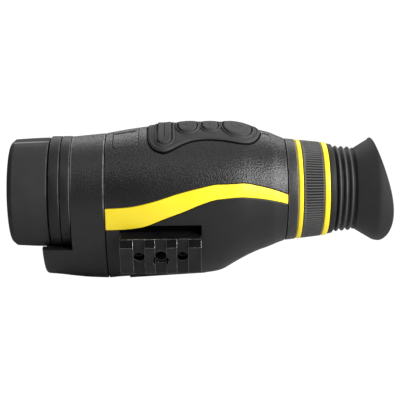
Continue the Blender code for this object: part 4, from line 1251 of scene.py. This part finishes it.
make_lens_cap()
turned("focus_ring", rounded([(-58.95, 26.6, 0.5), (-54.05, 26.6, 0.45), (-54.05, 21.1, 0.2),
                              (-54.6, 21.1, 0), (-54.6, 23.1, 0), (-58.95, 23.1, 0.2)]),
       FOCUS_SATIN, 192, angle=35)
turned("focus_sleeve", rounded([(-74.6, 23.0, 0.5), (-54.9, 23.0, 0.1), (-54.9, 22.2, 0),
                                (-62.5, 22.2, 0), (-62.5, 21.1, 0), (-74.6, 21.1, 0.3)]),
       LOOK["satin_shell"], 192, angle=35)
DOT_ANGLE = math.radians(-26.0)     # a small dot sunk in the bezel's -Y side
DOT_OUT = Vector((0, -math.cos(DOT_ANGLE), math.sin(DOT_ANGLE)))
turned("bezel_ring", rounded([(-53.75, 26.6, 0.45), (-49.25, 26.6, 0.45), (-49.25, 21.1, 0.2),
                              (-53.75, 21.1, 0.2)]), BEZEL_SATIN, 192, angle=35,
       cuts=[rod((-51.5, -26.2 * math.cos(DOT_ANGLE), 26.2 * math.sin(DOT_ANGLE)),
                 DOT_OUT * 2.0, 0.55, 20)])
turned("objective_barrel",
       rounded([(-72.5, 20.7, 0.3), (-45.9, 20.7, 0.2), (-45.9, 22.3, 0.3), (-43.6, 22.3, 0.3),
                (-43.6, 19.0, 0), (-72.5, 19.0, 0.3)], steps=3),
       LOOK["black_metal"], 128,
       cuts=[boxed((-61.5, -1.6, 15), (-54.9, 1.6, 25), Matrix.Identity(4))])
turned("objective_cell",
       rounded([(-70.6, 18.7, 0.3), (-56.0, 18.7, 0.2), (-56.0, 14.6, 0.1), (-57.2, 14.6, 0.1),
                (-57.2, 16.7, 0), (-61.3, 16.7, 0), (-61.3, 15.2, 0.1), (-64.3, 15.2, 0.1),
                (-64.3, 16.7, 0), (-67.3, 16.7, 0), (-67.9, 15.6, 0.2), (-70.6, 16.2, 0.2)],
               steps=3),
       LOOK["black_metal"], 128, cuts=[rod((-58.2, 0, 17.2), (0, 0, 5), 1.3, 28)])
turned("objective_lens_front",
       dome(-66.6, -69.6, 16.4) + [(-66.4, 16.4), (-64.6, 16.4)]
       + dome(-64.6, -65.9, 16.4)[::-1],
       LOOK["germanium"], 96, closed=False)

# ---------------------------------------------------------------- eyepiece end
turned("eyepiece_collar", rounded([(51.45, 22.0, 0), (51.45, 24.4, 0.35), (56.1, 23.9, 0.35),
                                   (56.1, 19.6, 0.2), (52.6, 19.6, 0), (52.6, 22.0, 0)]),
       COLLAR_GRAIN, 192, angle=35)
turned("yellow_ring_front", rounded([(56.55, 23.7, 0.4), (58.45, 23.85, 0.4), (58.5, 21.6, 0),
                                     (56.4, 21.6, 0)]), LOOK["yellow_trim"], 192, angle=40)
turned("yellow_ring_rear", rounded([(68.7, 22.55, 0.4), (71.1, 22.25, 0.4), (71.1, 21.0, 0),
                                    (68.7, 21.0, 0)]), LOOK["yellow_trim"], 192, angle=40)

RIBS, RIB_X0, RIB_X1 = 108, 59.1, 68.1


def ribs(x, r, angles):
    """Grip ribs on the outside of the diopter ring, fading at both ends."""
    if not RIB_X0 <= x <= RIB_X1:
        return r
    fade = min(1.0, (x - RIB_X0) / 0.35, (RIB_X1 - x) / 0.35)
    wave = 0.5 - 0.5 * np.cos(angles * RIBS)
    return r - 0.6 * fade * wave ** 1.4 * (r > 22.0)


turned("diopter_ring",
       [(56.5, 19.5), (56.5, 21.3), (58.8, 21.3)]
       + densify([(58.8, 23.2), (58.95, 23.45), (59.2, 23.55), (68.0, 22.58), (68.25, 22.4),
                  (68.4, 22.1)], 0.5)
       + [(68.4, 20.7), (71.0, 20.7), (71.0, 19.5)],
       KNURL_RUBBER, RIBS * 8, angle=60, swell=ribs)
turned("eyecup_base", rounded([(71.4, 21.75, 0.4), (73.7, 21.35, 0.6), (74.4, 20.2, 0.3),
                               (74.4, 17.3, 0), (73.3, 17.3, 0), (73.3, 19.5, 0),
                               (71.4, 19.5, 0)]), LOOK["black_rubber"], 160, angle=35)

BELLOWS_X0, BELLOWS_X1 = 74.75, 84.1
BELLOWS_LENGTH = 9.35
RIDGE_X, RIDGE_PITCH = 76.1, 2.85
BORE_R, BORE_STEPS = 17.9, 20


def make_bellows():
    def ripple(x):
        return math.cos(TAU * (x - RIDGE_X) / RIDGE_PITCH)

    profile = []
    for x in np.linspace(BELLOWS_X0, BELLOWS_X1, 76):
        mean = 20.1 - 0.75 * (x - BELLOWS_X0) / BELLOWS_LENGTH
        wave = ripple(x)
        profile.append((x, mean + 0.62 * (wave if wave > 0 else wave * 1.15)))
    profile.append((BELLOWS_X1, BORE_R))
    for i in range(1, BORE_STEPS):
        x = BELLOWS_X1 - (BELLOWS_X1 - BELLOWS_X0) * i / BORE_STEPS
        profile.append((x, BORE_R + 0.25 * ripple(x)))
    profile.append((BELLOWS_X0, BORE_R))
    bellows = turned("eyecup_bellows", profile, BELLOWS_RUBBER, 144, angle=60)
    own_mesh(bellows)


CUP_X, CUP_R, CUP_CONE = 84.4, 19.2, 0.6
RIM_R, RIM_SOFT = 25.2, 0.8         # radius the flare levels off at, and how gently
WING_AT = math.radians(-12)         # where the rim reaches furthest, measured from -Y
LIP_R = 0.55


def flare(x):
    """Outer radius of the eyecup."""
    r = CUP_R + CUP_CONE * (x - CUP_X)
    over = r - (RIM_R - RIM_SOFT)
    return np.where(over < 0, r, RIM_R - RIM_SOFT * np.exp(-np.maximum(over, 0) / RIM_SOFT))


def make_eyecup():
    angles = around(200)
    end_x = 92.9 + 7.5 * ((1 + np.cos(angles - WING_AT)) / 2) ** 3.4
    reach = end_x - CUP_X
    rows = []
    for f in np.linspace(0, 1, 40)[:-1]:
        x = CUP_X + reach * f
        rows.append(circle(x, flare(x), angles))
    # a rolled lip, then back along the inside
    for t in np.linspace(0, math.pi, 8):
        rows.append(circle(end_x - LIP_R + LIP_R * math.sin(t),
                           flare(end_x) - LIP_R + LIP_R * math.cos(t), angles))
    for f in np.linspace(1, 0, 34)[1:]:
        x = CUP_X + (reach - LIP_R) * f
        rows.append(circle(x, flare(x) - (1.1 + 0.5 * (1 - f)), angles))
    piece(loft("v_eyecup", rows, FLARE_RUBBER, loop=True), "eyecup", angle=50)


make_bellows()
make_eyecup()
turned("eyepiece_barrel",
       rounded([(33.4, 19.2, 0.2), (48.6, 19.2, 0), (48.6, 21.6, 0.2), (52.2, 21.6, 0.2),
                (52.2, 19.2, 0), (73.0, 19.2, 0.3), (73.0, 17.0, 0.3), (33.4, 17.0, 0.2)],
               steps=3), LOOK["black_metal"], 128)
turned("ocular_cell",
       rounded([(53.2, 16.7, 0.2), (68.0, 16.7, 0.3), (68.0, 14.9, 0.25), (61.7, 14.9, 0),
                (61.7, 13.4, 0.1), (59.1, 13.4, 0.1), (59.1, 14.9, 0), (54.4, 14.9, 0),
                (54.4, 13.6, 0.1), (53.2, 13.6, 0.1)], steps=3), LOOK["black_metal"], 128)
turned("ocular_lens_rear",
       [(62.0, 0), (62.0, 8.0), (62.0, 14.6), (64.0, 14.6)] + dome(64.0, 65.8, 14.6)[::-1],
       LOOK["optical_glass"], 96, closed=False)
turned("ocular_lens_front",
       dome(56.4, 54.9, 14.6) + [(58.8, 14.6), (58.8, 7.0), (58.8, 0)],
       LOOK["optical_glass"], 96, closed=False)


# ---------------------------------------------------------------- tripod insert
def make_tripod_insert():
    """A bush in the rail, its thread cut as a helix."""
    pitch, length = 1.27, 6.0
    angles = around(64)

    def ring(depth, radii):
        return [on_rail(SLOT_MID + r * math.cos(a), RAIL_T + r * math.sin(a),
                        RAIL_FLOOR + 2.0 + depth)
                for a, r in zip(angles, np.broadcast_to(radii, angles.shape))]

    rows = []
    for depth in np.linspace(0, length, 90):
        saw = np.abs(((depth / pitch - angles / TAU) % 1.0) * 2 - 1)
        rows.append(ring(depth, 2.55 + 0.45 * saw * (1 if 0.35 < depth < 5.65 else 0.6)))
    rows += [ring(depth, r) for depth, r in ((length, 3.25), (5.75, 3.5), (0.25, 3.5),
                                             (0.0, 3.25))]
    dull = metal("dull_insert", (0.09, 0.085, 0.075, 1), rough=(0.35, 0.5), metallic=0.9)
    piece(loft("v_tripod_insert", rows, dull, loop=True), "tripod_insert", angle=40)


make_tripod_insert()

# ---------------------------------------------------------------- CAD nodes that stay
BEVEL = {"accessory_rail": 0.28, "rail_screw_front": 0.16, "rail_screw_rear": 0.16,
         "battery_door": 0.35, "illuminator_lens": 0.3, "illuminator_emitter": 0.2}
# bevel finishes of the rail and its screws: rubbed metal, on the rail also painted edge
# highlights
WORN_AND_LIT = {"accessory_rail": RAIL_EDGE, "rail_screw_front": SCREW_EDGE,
        "rail_screw_rear": SCREW_EDGE}


def dress(node, ob):
    """Eases a CAD node's edges and gives it its finish."""
    materials = ob.data.materials
    materials.clear()
    materials.append(LOOK[SLOT_OF[node]])
    weld = ob.modifiers.new("weld", "WELD")
    weld.merge_threshold = 0.000002     # metres
    bevel = ob.modifiers.new("edges", "BEVEL")
    bevel.width = BEVEL.get(node, 0.1) * MM
    bevel.segments = 3
    bevel.limit_method = "ANGLE"
    bevel.angle_limit = math.radians(38)
    bevel.use_clamp_overlap = True
    bevel.harden_normals = False
    if node in WORN_AND_LIT:
        materials.append(WORN_AND_LIT[node])
        bevel.material = 1
    if node == "accessory_rail":
        # the faces that look upwards get painted shade
        materials.append(RAIL_SHADE)
        for face in ob.data.polygons:
            if face.normal.z > 0.35 and face.center.z > world_z(-24.0):
                face.material_index = 2


for cad_node, cad_object in frame["nodes"].items():
    if cad_node not in REPLACED:
        dress(cad_node, cad_object)

# ---------------------------------------------------------------- floor, light and camera
# lengths here are in metres
scene = bpy.context.scene


def make_floor():
    """A grey floor that the camera sees as nearly pure white."""
    half = 4
    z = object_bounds()[0].z - 0.0002
    floor = mesh_object("studio_floor", [(-half, -half, z), (half, -half, z), (half, half, z),
                                         (-half, half, z)], [(0, 1, 2, 3)])
    paint = Paint("studio_floor")
    cloud = paint.spread(paint.noise(40.0))
    paint.set(Base_Color=paint.mix(cloud, grey(0.50), grey(0.52)), Roughness=0.9)
    glow = paint.add("ShaderNodeEmission", Strength=1.12)
    seen = paint.add("ShaderNodeLightPath").outputs["Is Camera Ray"]
    both = paint.add("ShaderNodeMixShader")
    paint.put(both.inputs[0], paint.maths("MULTIPLY", seen, 0.9))
    paint.put(both.inputs[1], paint.shader.outputs[0])
    paint.put(both.inputs[2], glow.outputs[0])
    output = next(n for n in paint.tree.nodes if n.type == "OUTPUT_MATERIAL")
    paint.put(output.inputs["Surface"], both.outputs[0])
    floor.data.materials.append(paint.mat)


def make_world():
    """White to the camera, nearly dark as a light."""
    world = bpy.data.worlds.new("studio")
    scene.world = world
    world.use_nodes = True
    nodes, links = world.node_tree.nodes, world.node_tree.links
    background = nodes["Background"]
    background.inputs["Color"].default_value = (1, 1, 1, 1)
    path = nodes.new("ShaderNodeLightPath")
    strength = nodes.new("ShaderNodeMix")
    strength.data_type = "FLOAT"
    strength.inputs[2].default_value = 0.02
    strength.inputs[3].default_value = 1.0
    links.new(path.outputs["Is Camera Ray"], strength.inputs["Factor"])
    links.new(strength.outputs[0], background.inputs["Strength"])


# name, azimuth (0 towards the camera, positive to the right) and elevation in degrees,
# distance, width, height, watts
SOFTBOXES = (
    ("top_box", 0, 90, 1.1, 1.4, 0.5, 1.5),
    ("back_top_box", 0, 122, 1.2, 1.6, 0.5, 2.6),
    ("back_box", 0, 155, 1.3, 1.8, 0.5, 8.0),
    ("right_box", 50, 30, 1.2, 0.6, 0.6, 14.0),
    ("far_right_box", 85, 20, 1.2, 0.8, 0.8, 15.0),
    ("fill_box", -10, 20, 1.3, 1.2, 0.9, 0.35),
    ("glint_box", -30, 63, 0.9, 0.14, 0.14, 0.9),
)


def softbox(name, azimuth, elevation, distance, width, height, watts):
    azimuth, elevation = math.radians(azimuth), math.radians(elevation)
    data = bpy.data.lights.new(name, "AREA")
    data.shape = "RECTANGLE"
    data.size = width
    data.size_y = height
    data.energy = watts
    ob = bpy.data.objects.new(name, data)
    target = Vector(to_world((8, 0, 0)))
    ob.location = target + distance * Vector((math.sin(azimuth) * math.cos(elevation),
                                              -math.cos(azimuth) * math.cos(elevation),
                                              math.sin(elevation)))
    ob.rotation_mode = "QUATERNION"
    ob.rotation_quaternion = (target - ob.location).to_track_quat("-Z", "Y")
    scene.collection.objects.link(ob)


def make_camera():
    """Looks from -Y and above at the middle of the body."""
    tilt, roll = math.radians(22.0), math.radians(-0.22)
    distance, shift_x, shift_up = 0.552, 0.01104, -0.0048
    ahead = Vector((0, math.cos(tilt), -math.sin(tilt)))
    up = Vector((0, math.sin(tilt), math.cos(tilt)))
    camera = bpy.data.objects.new("camera", bpy.data.cameras.new("camera"))
    scene.collection.objects.link(camera)
    camera.data.sensor_width = 36.0
    camera.data.lens = 103.5
    camera.data.clip_start = 0.01
    camera.data.clip_end = 20.0
    middle = Vector(to_world((0, 0, 0)))
    camera.location = middle - ahead * distance
    aim = middle + Vector((shift_x, 0, 0)) + up * shift_up
    look = (aim - camera.location).to_track_quat("-Z", "Y")
    camera.rotation_mode = "QUATERNION"
    camera.rotation_quaternion = look @ Matrix.Rotation(roll, 3, "Z").to_quaternion()
    scene.camera = camera


make_floor()
make_world()
for box_row in SOFTBOXES:
    softbox(*box_row)
make_camera()
scene.view_settings.view_transform = "Standard"
